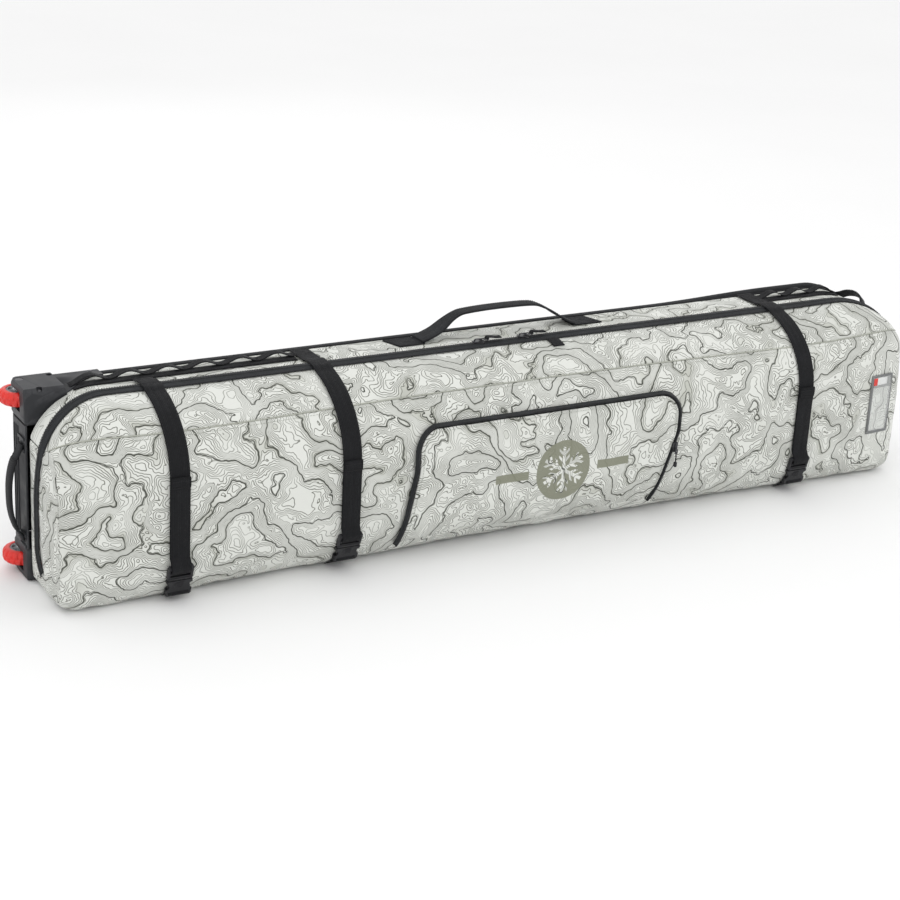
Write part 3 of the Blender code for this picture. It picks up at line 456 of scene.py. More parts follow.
def webbing_weave(name, colour):
    """Herringbone strap webbing: ribs along it, and slanting picks that change side down its middle."""
    g = Graph(name)
    along, across, _ = g.split(g.uv())
    ribs = g.wave(across, 0.0032)
    chevron = g.math("ABSOLUTE", g.math("SUBTRACT", g.math("FRACT", g.math("DIVIDE", across, 0.0128)), 0.5))
    slant = g.wave(g.math("ADD", along, g.math("MULTIPLY", chevron, 0.0128)), 0.0018)
    threads = g.math("MULTIPLY", g.math("MULTIPLY_ADD", ribs, 0.5, 0.5), slant)
    fuzz = g.noise(g.place(), 220.0, 3.0, 0.6)
    scuff = g.ramp(g.noise(g.place(), 22.0, 3.0), 0.50, 0.72)
    base = g.mix(threads, tuple(c * 0.65 for c in colour), tuple(c * 1.8 for c in colour))
    base = g.mix(g.math("MULTIPLY", scuff, 0.25), base, tuple(c * 2.4 for c in colour))
    height = g.math("ADD", threads, g.math("MULTIPLY", fuzz, 0.25))
    rough = g.ramp(fuzz, 0.2, 0.8, 0.58, 0.78)
    normal = g.bump(height, 0.00045, 0.9)
    return g.finish(base, rough, normal, sheen_weight=0.02, sheen_roughness=0.4, specular_ior_level=0.16)


def moulded(name, colour, roughness, grain=900.0, wear=0.25, metal=0.0, bump=0.00012):
    """Moulded plastic, rubber or metal with a fine grain, and paler worn and dusty places."""
    g = Graph(name)
    at = g.place()
    grains = g.noise(at, grain, 2.0, 0.6)
    clouds = g.noise(at, 26.0, 4.0, 0.62)
    edges = g.node("ShaderNodeNewGeometry").outputs["Pointiness"]
    rubbed = g.math("MULTIPLY", g.ramp(edges, 0.505, 0.56), g.ramp(clouds, 0.35, 0.65))
    base = g.mix(clouds, tuple(c * 0.85 for c in colour), tuple(c * 1.18 for c in colour))
    base = g.mix(g.math("MULTIPLY", rubbed, wear), base, tuple(min(1.0, c * 2.2 + 0.05) for c in colour))
    rough = g.ramp(clouds, 0.30, 0.70, max(0.05, roughness - 0.09), roughness + 0.10)
    shine = 0.28 if max(colour) < 0.05 else 0.5
    return g.finish(base, rough, g.bump(grains, bump, 0.5), metallic=metal, specular_ior_level=shine)


def clear_film(name):
    """Clear vinyl: plain see-through gloss with faint clouding."""
    g = Graph(name)
    cloud = g.ramp(g.noise(g.place(), 60.0, 3.0), 0.4, 0.7, 0.08, 0.22)
    g.finish((0.86, 0.88, 0.86), cloud, coat_weight=0.6)
    g.shader.inputs["Alpha"].default_value = 0.28
    return g.material


BLACK = (0.0085, 0.0088, 0.0100)
finishes = {
    "print_lid": contour_print("contour_print_lid", (0.0, 0.0, 0.0)),
    "print_gusset": contour_print("contour_print_gusset", (3.1, 0.7, 0.0)),
    "print_wall": contour_print("contour_print_wall", (5.3, 2.2, 0.0)),
    "print_end": contour_print("contour_print_end", (8.7, 4.1, 0.0)),
    "print_pocket": contour_print("contour_print_pocket", (11.2, 0.35, 0.0), emblem=True),
    "base_fabric": dark_weave("base_fabric_weave", (0.017, 0.018, 0.020), 0.0016),
    "binding": dark_weave("binding_weave", (0.015, 0.0155, 0.017), 0.0012),
    "webbing": webbing_weave("webbing_weave", BLACK),
    "handle_webbing": webbing_weave("handle_webbing_weave", (0.016, 0.017, 0.019)),
    "zip_tape": webbing_weave("zip_tape_weave", (0.024, 0.026, 0.028)),
    "zip_teeth": moulded("zip_teeth_nylon", (0.022, 0.023, 0.025), 0.42),
    "thread": dark_weave("sewing_thread", (0.030, 0.030, 0.032), 0.0006),
    "pale_thread": dark_weave("pale_sewing_thread", (0.40, 0.42, 0.37), 0.0006),
    "seam_cloth": dark_weave("seam_cloth_weave", (0.40, 0.41, 0.36), 0.0009),
    "moulding": moulded("moulded_nylon", (0.022, 0.023, 0.026), 0.50, wear=0.30),
    "sheet_plastic": moulded("sheet_plastic_grain", (0.15, 0.155, 0.155), 0.55),
    "buckle": moulded("buckle_acetal", (0.013, 0.013, 0.015), 0.38, wear=0.2),
    "tyre": moulded("red_tyre_rubber", (0.70, 0.024, 0.016), 0.40, grain=500.0, wear=0.04),
    "hub": moulded("hub_nylon", (0.16, 0.165, 0.175), 0.42),
    "steel": moulded("brushed_steel", (0.52, 0.52, 0.54), 0.30, metal=1.0, wear=0.1),
    "black_steel": moulded("blackened_steel", (0.060, 0.060, 0.065), 0.36, metal=0.8),
    "zip_metal": moulded("gunmetal", (0.055, 0.055, 0.060), 0.34, metal=0.85),
    "window": clear_film("clear_vinyl"),
    "tag": moulded("red_tag_rubber", (0.60, 0.030, 0.022), 0.5),
    "pale_tag": moulded("pale_tag_rubber", (0.66, 0.67, 0.66), 0.5),
}
SLOTS = {
    "print": "print_fabric", "base_fabric": "base_fabric", "binding": "base_fabric",
    "webbing": "webbing", "handle_webbing": "webbing", "zip_tape": "zip_tape", "zip_teeth": "zip_tape",
    "thread": "webbing", "pale_thread": "print_fabric", "seam_cloth": "print_fabric", "moulding": "moulding",
    "sheet_plastic": "sheet_plastic", "buckle": "buckle_plastic", "tyre": "tyre_red", "hub": "hub_grey",
    "steel": "steel", "black_steel": "steel", "zip_metal": "zip_metal", "window": "clear_window",
    "tag": "sheet_plastic", "pale_tag": "sheet_plastic",
}


# ---- pieces ----
riders = []


def slot_of(finish):
    return SLOTS["print" if finish.startswith("print") else finish]


def piece(name, mesh, finish, body, *stands_for, facets=None):
    """A named object that will ride on a body, in place of the CAD nodes named."""
    mesh.materials.append(finishes[finish])
    mesh.shade_smooth()
    made = bpy.data.objects.new(name, mesh)
    scene.collection.objects.link(made)
    if facets:
        sharp(made, facets)
    riders.append((made, body, slot_of(finish), stands_for))
    return made


@contextmanager
def editing(mesh):
    """A bmesh of the mesh, which is written back at the end."""
    bm = bmesh.new()
    bm.from_mesh(mesh)
    yield bm
    bm.to_mesh(mesh)
    bm.free()


def sharp(obj, degrees):
    with editing(obj.data) as bm:
        for edge in bm.edges:
            edge.smooth = edge.calc_face_angle(0.0) < math.radians(degrees)


def turned_to(obj, direction):
    """Flips a sheet that faces away from the direction."""
    polygons = obj.data.polygons
    if polygons[len(polygons) // 2].normal.dot(Vector(direction)) < 0:
        obj.data.flip_normals()
    return obj


def grid_mesh(name, rows, uvs=None, ring=False, caps=False):
    """A sheet through rows of points. ring closes each row on itself; caps closes its two ends."""
    bm = bmesh.new()
    verts = [[bm.verts.new(point) for point in row] for row in rows]
    if uvs is None:
        uvs = run_lengths(rows)
    layer = bm.loops.layers.uv.new("cloth")
    count = len(rows[0])
    last = count if ring else count - 1
    for r in range(len(rows) - 1):
        for c in range(last):
            d = (c + 1) % count
            face = bm.faces.new((verts[r][c], verts[r][d], verts[r + 1][d], verts[r + 1][c]))
            places = (uvs[r][c], uvs[r][d], uvs[r + 1][d], uvs[r + 1][c])
            for loop, place in zip(face.loops, places):
                loop[layer].uv = place
    if caps:
        bm.faces.new(reversed(verts[0]))
        bm.faces.new(verts[-1])
        bmesh.ops.recalc_face_normals(bm, faces=bm.faces)
    mesh = bpy.data.meshes.new(name)
    bm.to_mesh(mesh)
    bm.free()
    return mesh


def run_lengths(rows):
    """Metres along the rows and across them, for a texture that keeps its scale."""
    made = []
    along = 0.0
    middle = len(rows[0]) // 2
    for r, row in enumerate(rows):
        if r:
            along += (row[middle] - rows[r - 1][middle]).length
        across = [0.0]
        for a, b in zip(row, row[1:]):
            across.append(across[-1] + (b - a).length)
        made.append([(along, c) for c in across])
    return made


def thicken(obj, thickness, offset=-1.0, levels=0):
    wall = obj.modifiers.new("thickness", "SOLIDIFY")
    wall.thickness = thickness
    wall.offset = offset
    if levels:
        subdivide(obj, levels)


def subdivide(obj, levels=1):
    made = obj.modifiers.new("smoothed", "SUBSURF")
    made.levels = levels
    made.render_levels = levels


def bevel(obj, width, segments=2, angle=35):
    made = obj.modifiers.new("rounded", "BEVEL")
    made.width = width
    made.segments = segments
    made.limit_method = "ANGLE"
    made.angle_limit = math.radians(angle)


def apply_modifiers(obj):
    """Fixes what the modifiers make into the mesh itself."""
    graph = bpy.context.evaluated_depsgraph_get()
    mesh = bpy.data.meshes.new_from_object(obj.evaluated_get(graph), depsgraph=graph)
    obj.modifiers.clear()
    obj.data = mesh


def tube(name, path, radius, finish, body, *nodes, sides=8):
    """A round cord, such as piping, swept along a path."""
    rows = []
    side = None
    for i, point in enumerate(path):
        ahead = (path[min(i + 1, len(path) - 1)] - path[max(i - 1, 0)]).normalized()
        if side is None:
            side = ahead.orthogonal().normalized()
        side = (side - ahead * side.dot(ahead)).normalized()
        other = ahead.cross(side)
        angles = [2 * math.pi * k / sides for k in range(sides)]
        rows.append([point + (side * math.cos(a) + other * math.sin(a)) * radius for a in angles])
    return piece(name, grid_mesh(name, rows, ring=True, caps=True), finish, body, *nodes)


def band_mesh(name, places, wide, thick, crown=0.0):
    """Flat webbing with rounded edges. places: (point under its middle, direction across, outward normal)."""
    edge = thick / 2
    flats = [-0.5, -0.25, 0.0, 0.25, 0.5]
    profile = [(f * (wide - thick), thick + crown * (1 - 4 * f * f)) for f in flats]
    profile.append((wide / 2, edge))
    profile += [(f * (wide - thick), 0.0) for f in reversed(flats)]
    profile.append((-wide / 2, edge))
    rows = []
    uvs = []
    along = 0.0
    for i, (point, across, normal) in enumerate(places):
        if i:
            along += (point - places[i - 1][0]).length
        rows.append([point + across * a + normal * b for a, b in profile])
        uvs.append([(along, a + (0.1 if k > 5 else 0.0)) for k, (a, _) in enumerate(profile)])
    return grid_mesh(name, rows, uvs, ring=True, caps=True)


def band(name, places, wide, thick, finish, body, *nodes, crown=0.0):
    return piece(name, band_mesh(name, places, wide, thick, crown), finish, body, *nodes)


def facing(path, across, out=None):
    """Stations for a band whose width lies along one direction, with its normals on the side of out."""
    places = []
    for i, point in enumerate(path):
        ahead = path[min(i + 1, len(path) - 1)] - path[max(i - 1, 0)]
        normal = across.cross(ahead).normalized()
        if out is not None and normal.dot(out) < 0:
            normal = -normal
        places.append((point, across, normal))
    return places


def join(meshes, name):
    """Several meshes as one, each keeping its texture coordinates."""
    bm = bmesh.new()
    for mesh in meshes:
        bm.from_mesh(mesh)
        bpy.data.meshes.remove(mesh)
    made = bpy.data.meshes.new(name)
    bm.to_mesh(made)
    bm.free()
    return made


def block(low, high, matrix=None, taper=1.0):
    """A box as (vertices, faces) lists; taper narrows its upper face."""
    centre = [(a + b) / 2 for a, b in zip(low, high)]
    corners = []
    for z in (low[2], high[2]):
        share = taper if z == high[2] else 1.0
        for x, y in ((low[0], low[1]), (high[0], low[1]), (high[0], high[1]), (low[0], high[1])):
            corners.append(Vector((centre[0] + (x - centre[0]) * share, centre[1] + (y - centre[1]) * share, z)))
    if matrix:
        corners = [matrix @ corner for corner in corners]
    faces = [(0, 3, 2, 1), (4, 5, 6, 7), (0, 1, 5, 4), (1, 2, 6, 5), (2, 3, 7, 6), (3, 0, 4, 7)]
    return corners, faces


def blocks_mesh(name, blocks):
    """Many small closed blocks in one mesh."""
    verts = []
    faces = []
    for corners, sides in blocks:
        start = len(verts)
        verts += corners
        faces += [tuple(start + i for i in side) for side in sides]
    mesh = bpy.data.meshes.new(name)
    mesh.from_pydata([tuple(v) for v in verts], [], faces)
    mesh.uv_layers.new(name="cloth")
    return mesh


def frame_at(point, x_axis, z_axis):
    """A matrix whose X and Z lie as told."""
    y_axis = z_axis.cross(x_axis).normalized()
    x_axis = y_axis.cross(z_axis).normalized()
    made = Matrix((x_axis, y_axis, z_axis.normalized())).transposed().to_4x4()
    made.translation = point
    return made


def stitches(path, normals, pitch=0.0050, long=0.0036, thick=0.0009, rise=0.0005):
    """Blocks for a row of stitches along a path."""
    made = []
    count = max(2, int(length_of(path) / pitch))
    spots = resample(path, count)
    for i in range(count):
        a, b = spots[i], spots[i + 1]
        normal = normals[min(len(normals) - 1, int(i / count * len(normals)))]
        turn = frame_at((a + b) / 2, b - a, normal)
        low = (-long / 2, -thick / 2, -rise)
        made.append(block(low, (long / 2, thick / 2, rise), turn, 0.7))
    return made


def edge_stitches(places, asides, lift, **sizes):
    """Rows of stitches along a band, each at its own distance from the middle."""
    normals = [n for _, _, n in places]
    made = []
    for aside in asides:
        made += stitches([p + a * aside + n * lift for p, a, n in places], normals, **sizes)
    return made


def sewn(name, blocks, body, finish="thread"):
    return piece(name, blocks_mesh("seam", blocks), finish, body)


# ---- padded fabric, settled by a cloth simulation ----
settling = []


def fabric(name, rows, uvs, held, finish, body, *nodes, thick=0.0026, pull=1.0):
    """A fabric panel from rows of points. held says how firmly each point is kept where it is, 0 to 1."""
    made = piece(name, grid_mesh(name, rows, uvs), finish, body, *nodes)
    face = made.data.polygons[len(made.data.polygons) // 2]
    if face.normal.dot(face.center - Vector((face.center.x * 0.9, -0.02, HEIGHT / 2))) < 0:
        made.data.flip_normals()
    settling.append((made, [value for row in held for value in row], pull))
    made["thick"] = thick
    return made


def settle_all():
    """Fills the panels out from inside, held at their seams and straps, then fixes the result."""
    for obj, held, pull in settling:
        mesh = obj.data
        mesh["rest"] = [c for v in mesh.vertices for c in v.co]
        for vert, firm in zip(mesh.vertices, held):
            ripple = noise.noise(vert.co * 21.0) + 0.5 * noise.noise(vert.co * 53.0)
            vert.co += vert.normal * ripple * 0.0012 * (1 - firm)
        group = obj.vertex_groups.new(name="held")
        for i, firm in enumerate(held):
            group.add([i], firm, "REPLACE")
        cloth = obj.modifiers.new("cloth", "CLOTH")
        rules = cloth.settings
        rules.quality = 5
        rules.mass = 0.25
        rules.tension_stiffness = 18
        rules.compression_stiffness = 18
        rules.shear_stiffness = 8
        rules.bending_stiffness = 0.6
        rules.vertex_group_mass = "held"
        rules.pin_stiffness = 1.0
        rules.shrink_min = rules.shrink_max = -0.006
        rules.use_pressure = True
        rules.uniform_pressure_force = 2.2 * pull
        rules.effector_weights.gravity = 0
        cloth.collision_settings.use_collision = False
        cloth.point_cache.frame_start = 1
        cloth.point_cache.frame_end = SETTLE_FRAMES
    for number in range(1, SETTLE_FRAMES + 1):
        scene.frame_set(number)
    graph = bpy.context.evaluated_depsgraph_get()
    for obj, held, pull in settling:
        mesh = obj.data
        moved = [v.co.copy() for v in obj.evaluated_get(graph).data.vertices]
        rest = list(mesh["rest"])
        normals = [v.normal.copy() for v in mesh.vertices]
        most = max(1e-5, 0.0075 * pull)
        for i, (vert, point) in enumerate(zip(mesh.vertices, moved)):
            home = Vector(rest[3 * i:3 * i + 3])
            shift = point - home
            size = shift.length
            if size > 1e-9:
                shift *= most * math.tanh(size / most) / size
            crease = noise.fractal(home * 16.0, 0.9, 2.1, 3)
            vert.co = home + shift + normals[i] * crease * 0.0016 * (1 - held[i])
        del mesh["rest"]
        for modifier in list(obj.modifiers):
            obj.modifiers.remove(modifier)
        obj.vertex_groups.clear()
        thicken(obj, obj["thick"], -1.0, 1)
        del obj["thick"]
    scene.frame_set(1)


def near_strap(x, y, _):
    """How much a strap presses on the fabric here."""
    press = 0.0
    for strap_x, top_y in STRAPS.values():
        if y < top_y + 0.01:
            press = max(press, smooth(1.6 - abs(x - strap_x) / (WEB_WIDE / 2 + 0.004)))
    return min(1.0, press)


def stations(low, high, extra=()):
    """Places along X, closer together where the bag rounds off at its ends."""
    xs = set()
    for a, b, cell in ((low, -0.80, 0.007), (-0.80, 0.80, CLOTH_CELL), (0.80, high, 0.007)):
        xs.update(round(x, 6) for x in spread(a, b, round((b - a) / cell)))
    return sorted(xs | set(extra))


def arc_places(x, points):
    """Texture places for points that cross the bag at x."""
    return [(x, length_of(points[:i + 1])) for i in range(len(points))]


def skin_fabric(name, start, end, cells, finish, body, nodes, firm=None, extra=(), pull=1.0):
    """A panel of the skin between two turns, given as functions of x."""
    rows, uvs, held = [], [], []
    for x in stations(-HALF, HALF, extra):
        points = resample([skin(x, t) for t in spread(start(x), end(x), cells * 4)], cells)
        rows.append(points)
        uvs.append(arc_places(x, points))
    for r, row in enumerate(rows):
        firmness = []
        for c, point in enumerate(row):
            edge = min(c, cells - c, r, len(rows) - 1 - r)
            value = 1.0 if edge == 0 else 0.35 if edge == 1 else 0.0
            value = max(value, near_strap(*point), firm(point) if firm else 0.0)
            firmness.append(value)
        held.append(firmness)
    return fabric(name, rows, uvs, held, finish, body, *nodes, pull=pull)


def pocket_side(z, side, shrink=0.0):
    foot, spread_by = POCKET_FOOT[side]
    edge = foot + spread_by * min(1.0, (z - POCKET_Z[0]) / 0.14)
    corner = POCKET_CORNER - shrink
    past = min(1.0, max(0.0, (z - POCKET_Z[1] + shrink + corner) / corner))
    inset = corner * (1 - math.sqrt(1 - past * past))
    return edge - side * (inset + shrink * 1.08)


def lid_firm(point):
    """The lid is flat behind its pocket and its identity window."""
    x, _, z = point
    if POCKET_Z[0] - 0.012 < z < POCKET_Z[1] + 0.008:
        if pocket_side(min(z, 0.22), -1) - 0.01 < x < pocket_side(min(z, 0.22), 1) + 0.01:
            return 1.0
    if 0.820 < x < 0.905 and 0.085 < z < 0.25:
        return 0.97
    return 0.0


def zip_firm(point):
    """Cloth stays flat under the zip, the daisy chains and the carry handle's anchors."""
    x, y, _ = point
    if abs(y - zip_y(x)) < 0.0155:
        return 1.0
    if y > 0.018 and (x < -0.405 or x > 0.655 or -0.22 < x < -0.145 or 0.19 < x < 0.265):
        return 0.97
    return 0.0


def wall_edge(x):
    return HOUSING_SEAM_Y if x < HOUSING_IN_X else BASE_SEAM_Y


def make_skin():
    steps = (HOUSING_IN_X - 0.0007, HOUSING_IN_X + 0.0007)
    skin_fabric(
        "lid_front_fabric",
        lambda x: turn_on_top(x, SEAM_Y - SEAM_GAP), lambda x: turn_below(x, LID_EDGE_Y),
        38, "print_lid", "lid", ["lid_front_panel"], lid_firm,
    )
    skin_fabric(
        "lid_top_gusset_fabric",
        lambda x: turn_on_top(x, zip_y(x) - 0.001), lambda x: turn_on_top(x, SEAM_Y + SEAM_GAP),
        10, "print_gusset", "lid", ["lid_top_gusset"], zip_firm, pull=0.8,
    )
    skin_fabric(
        "top_wall_fabric",
        lambda x: turn_on_top(x, wall_edge(x)), lambda x: turn_on_top(x, zip_y(x) + 0.001),
        9, "print_wall", "shell", ["top_wall"], zip_firm, steps, pull=0.8,
    )
    skin_fabric(
        "bottom_wall_fabric",
        lambda x: turn_below(x, LID_EDGE_Y + 0.0045), lambda x: turn_below(x, wall_edge(x)),
        13, "print_wall", "shell", ["bottom_wall"], lambda point: 1.0, steps, pull=0.0,
    )


def make_lid_seam():
    """The lid's long seam, as a low welt between the front panel and the top gusset."""
    path = [skin(x, turn_on_top(x, SEAM_Y), -0.0002) for x in stations(-HALF, HALF)]
    tube("lid_seam_welt", path, 0.0012, "seam_cloth", "lid")
    places = [(x, turn_on_top(x, SEAM_Y - 0.0055)) for x in stations(-0.915, 0.915)]
    line = [skin(x, turn, 0.0002) for x, turn in places]
    normals = [skin_normal(x, turn) for x, turn in places]
    seam = stitches(line, normals, pitch=0.0065, long=0.0046, thick=0.0007, rise=0.0003)
    sewn("lid_seam_topstitching", seam, "lid", "pale_thread")


def end_fabric(name, side, outer, inner, cells, finish, body, nodes, pull=0.9):
    """A panel of an end face, ruled between its outer edge and the zip."""
    count = len(outer) - 1
    rows, uvs, held = [], [], []
    for r in range(count + 1):
        row = [outer[r].lerp(inner[r], c / cells) for c in range(cells + 1)]
        if side > 0:
            row = row[::-1]
        rows.append(row)
        uvs.append([(point.y, point.z) for point in row])
        firmness = []
        for c in range(cells + 1):
            edge = min(c, cells - c)
            firmness.append(1.0 if edge == 0 or r in (0, count) else 0.3 if edge == 1 else 0.0)
        held.append(firmness)
    return turned_to(fabric(name, rows, uvs, held, finish, body, *nodes, pull=pull), (side, 0, 0))


def make_end_faces():
    for end, side in (("wheel_end", -1), ("tip_end", 1)):
        x = side * (HALF - 0.0003)
        top = zip_corner(side).z - 0.004
        foot = Vector((x, ZIP_FOOT[0], 0.012))
        run = [Vector((x, zip_line(z, side), z)) for z in spread(top, ZIP_FOOT[1] + 0.004, 40)] + [foot]
        start, finish = turn_on_top(x, run[0].y), turn_below(x, foot.y)

        def edge(first, last, count):
            return [Vector((x, *skin(x, t, -GUSSET_SINK)[1:])) for t in spread(first, last, count)]

        back, cells = (HOUSING_SEAM_Y, 4) if side < 0 else (0.098, 8)
        wall = edge(start, turn_on_top(x, back), 30) + edge(turn_below(x, back), finish, 30)
        for node, outer, gap, count, body in (
            (f"lid_{end}_gusset", edge(start, finish, 160), -0.0006, 9, "lid"),
            (f"{end}_wall", wall, 0.0006, cells, "shell"),
        ):
            inner = [p + Y_AXIS * gap for p in resample(run, 44)]
            end_fabric(f"{node}_fabric", side, resample(outer, 44), inner, count, "print_end", body, [node])


# ---- base ----
def make_base():
    """Black base: its back, with edges that wrap over the top and under the bottom."""
    rows, uvs = [], []
    radius = 0.010
    for x in spread(-0.8558, HALF, 150):
        lip = 0.0015 + 0.0075 * smooth((x - 0.42) / 0.30) * smooth((0.925 - x) / 0.10)
        top = HEIGHT - draw_in(x, BACK_Y, 0) + lip
        foot = draw_in(x, BACK_Y, 5)
        outline = [Vector((x, BASE_EDGE_Y, top - lip)), Vector((x, BASE_EDGE_Y + 0.003, top - lip * 0.3))]
        for a in spread(0, math.pi / 2, 5):
            y = BACK_Y - radius + radius * math.sin(a)
            outline.append(Vector((x, y, top - radius + radius * math.cos(a))))
        sides = [(p.y, p.z - top) for p in outline]
        outline += [Vector((x, BACK_Y, z)) for z in spread(top - radius, foot + radius, 26)[1:-1]]
        outline += [Vector((x, y, foot - min(0.0, z + lip if y < 0.1 else z))) for y, z in reversed(sides)]
        for i, point in enumerate(outline):
            depth = smooth((point.z - foot) / 0.03) * smooth((top - point.z) / 0.03)
            ripple = noise.fractal(point * 9.0, 0.8, 2.0, 3) * 0.0016
            point.y += depth * (ripple - 0.0010)
        rows.append(outline[::-1])
        uvs.append(arc_places(x, outline)[::-1])
    base = piece("base_panel_fabric", grid_mesh("base", rows, uvs), "base_fabric", "shell", "base_panel")
    thicken(base, 0.0034)
    seams = []
    for z in (0.180, 0.330, 0.030):
        for lift in (-0.0025, 0.0025):
            path = [Vector((x, BACK_Y + 0.0006, z + lift)) for x in spread(-0.845, 0.915, 60)]
            seams += stitches(path, [Y_AXIS], pitch=0.0065, long=0.0048)
    sewn("base_stitching", seams, "shell")
    for name, turn_at in (("upper", turn_on_top), ("lower", turn_below)):
        path = []
        for x in spread(-0.850, HALF, 140):
            spot = skin(x, turn_at(x, BASE_EDGE_Y - 0.0006), 0.0)
            spot.z += 0.0004 if name == "upper" else 0.0016
            path.append(spot)
        tube(f"base_piping_{name}", path, 0.0019, "binding", "shell")
    profile = [(-0.011, 0.0), (-0.0105, 0.0060), (-0.0085, 0.0085), (-0.0050, 0.0095), (-0.0035, 0.0078)]
    profile += [(-a, h) for a, h in reversed(profile)]
    for name, z in (("upper", 0.285), ("lower", 0.075)):
        rows = []
        for x, share in ((-0.845, 0.1), (-0.838, 0.75), (-0.825, 1.0), (0.860, 1.0), (0.873, 0.75), (0.880, 0.1)):
            rows.append([Vector((x, BACK_Y + 0.0005 + h * share, z + a * (0.6 + 0.4 * share))) for a, h in profile])
        mesh = grid_mesh("rail", rows, ring=True, caps=True)
        node = f"skid_rail_{name}"
        bevel(piece(f"{node}_runner", mesh, "moulding", "shell", node, facets=40), 0.0008, 2)


# ---- wheel end mouldings ----
def cornered(mesh, upper):
    """Rounds the moulding's front corner down to meet the fabric."""
    for vert in mesh.vertices:
        x, y, z = vert.co
        lean = smooth((0.0395 - y) / 0.0095)
        if upper:
            drop = end_curve(x * 0.985, 0.120, 0.060) * lean
            vert.co.z -= drop * smooth((z - 0.296) / 0.05)
        else:
            lift = end_curve(x * 0.985, 0.060, 0.016) * lean
            vert.co.z += lift * smooth((0.066 - z) / 0.05)


def ring_outline(x0, y0, x1, y1, radii, steps=5):
    """A rectangle with its own radius at each corner: (x0,y0), (x1,y0), (x1,y1), (x0,y1)."""
    corners = ((x0, y0, 1, 1, 180), (x1, y0, -1, 1, 270), (x1, y1, -1, -1, 0), (x0, y1, 1, -1, 90))
    made = []
    for (x, y, sx, sy, start), radius in zip(corners, radii):
        cx, cy = x + sx * radius, y + sy * radius
        for a in spread(math.radians(start), math.radians(start + 90), steps):
            made.append((cx + radius * math.cos(a), cy + radius * math.sin(a)))
    return made


def carve(obj, *cutters):
    """Cuts closed meshes out of an object, and fixes the result."""
    tools = []
    for mesh in cutters:
        tool = bpy.data.objects.new("cutter", mesh)
        scene.collection.objects.link(tool)
        cut = obj.modifiers.new("cut", "BOOLEAN")
        cut.object = tool
        cut.solver = "EXACT"
        tools.append(tool)
    apply_modifiers(obj)
    for tool in tools:
        bpy.data.objects.remove(tool, do_unlink=True)


def cylinder(x, y, low, high, radius, sides=24):
    angles = [2 * math.pi * k / sides for k in range(sides)]
    circle = [(x + radius * math.cos(a), y + radius * math.sin(a)) for a in angles]
    rows = [[Vector((*spot, z)) for spot in circle] for z in (low, high)]
    return grid_mesh("cylinder", rows, ring=True, caps=True)


def make_housing(name):
    low, high = HOUSING_Z[name]
    upper = name == "upper"
    outline = ring_outline(*HOUSING_LOW, *HOUSING_HIGH, (0.007, 0.003, 0.003, 0.012))
    rows = []
    for z in spread(low, high, 10):
        near_face = min(z - low, high - z)
        inset = 0.0022 * (1 - smooth(near_face / 0.004)) if near_face < 0.004 else 0.0
        middle = Vector(((HOUSING_LOW[0] + HOUSING_HIGH[0]) / 2, (HOUSING_LOW[1] + HOUSING_HIGH[1]) / 2, 0))
        rows.append([
            Vector((a + math.copysign(inset, middle.x - a), b + math.copysign(inset, middle.y - b), z))
            for a, b in outline
        ])
    mesh = grid_mesh("housing", rows, ring=True, caps=True)
    with editing(mesh) as bm:
        for axis, steps in ((X_AXIS, (-0.918, -0.900, -0.880)), (Y_AXIS, (0.033, 0.036, 0.0395))):
            for step in steps:
                everything = bm.verts[:] + bm.edges[:] + bm.faces[:]
                bmesh.ops.bisect_plane(bm, geom=everything, plane_co=axis * step, plane_no=axis)
    cornered(mesh, upper)
    housing = piece(f"wheel_housing_{name}_shell", mesh, "moulding", "shell", f"wheel_housing_{name}")
    middle = WHEEL_Z[name]
    half = WHEEL_HALF + 0.005
    outer, side = (high, 1) if upper else (low, -1)
    cuts = [
        cylinder(*WHEEL, middle - half, middle + half, WHEEL_RADIUS + 0.005, 48),
        cylinder(*WHEEL, outer - side * 0.0030, outer + side * 0.01, 0.0082),
        cylinder(*WHEEL, low - 0.01, high + 0.01, 0.0046),
    ]
    for x, y in ((-0.905, 0.040), (-0.866, 0.100)):
        cuts.append(cylinder(x, y, outer - side * 0.0065, outer + side * 0.01, 0.0054))
    carve(housing, *cuts)
    sharp(housing, 32)
    bevel(housing, 0.0008, 2, 30)


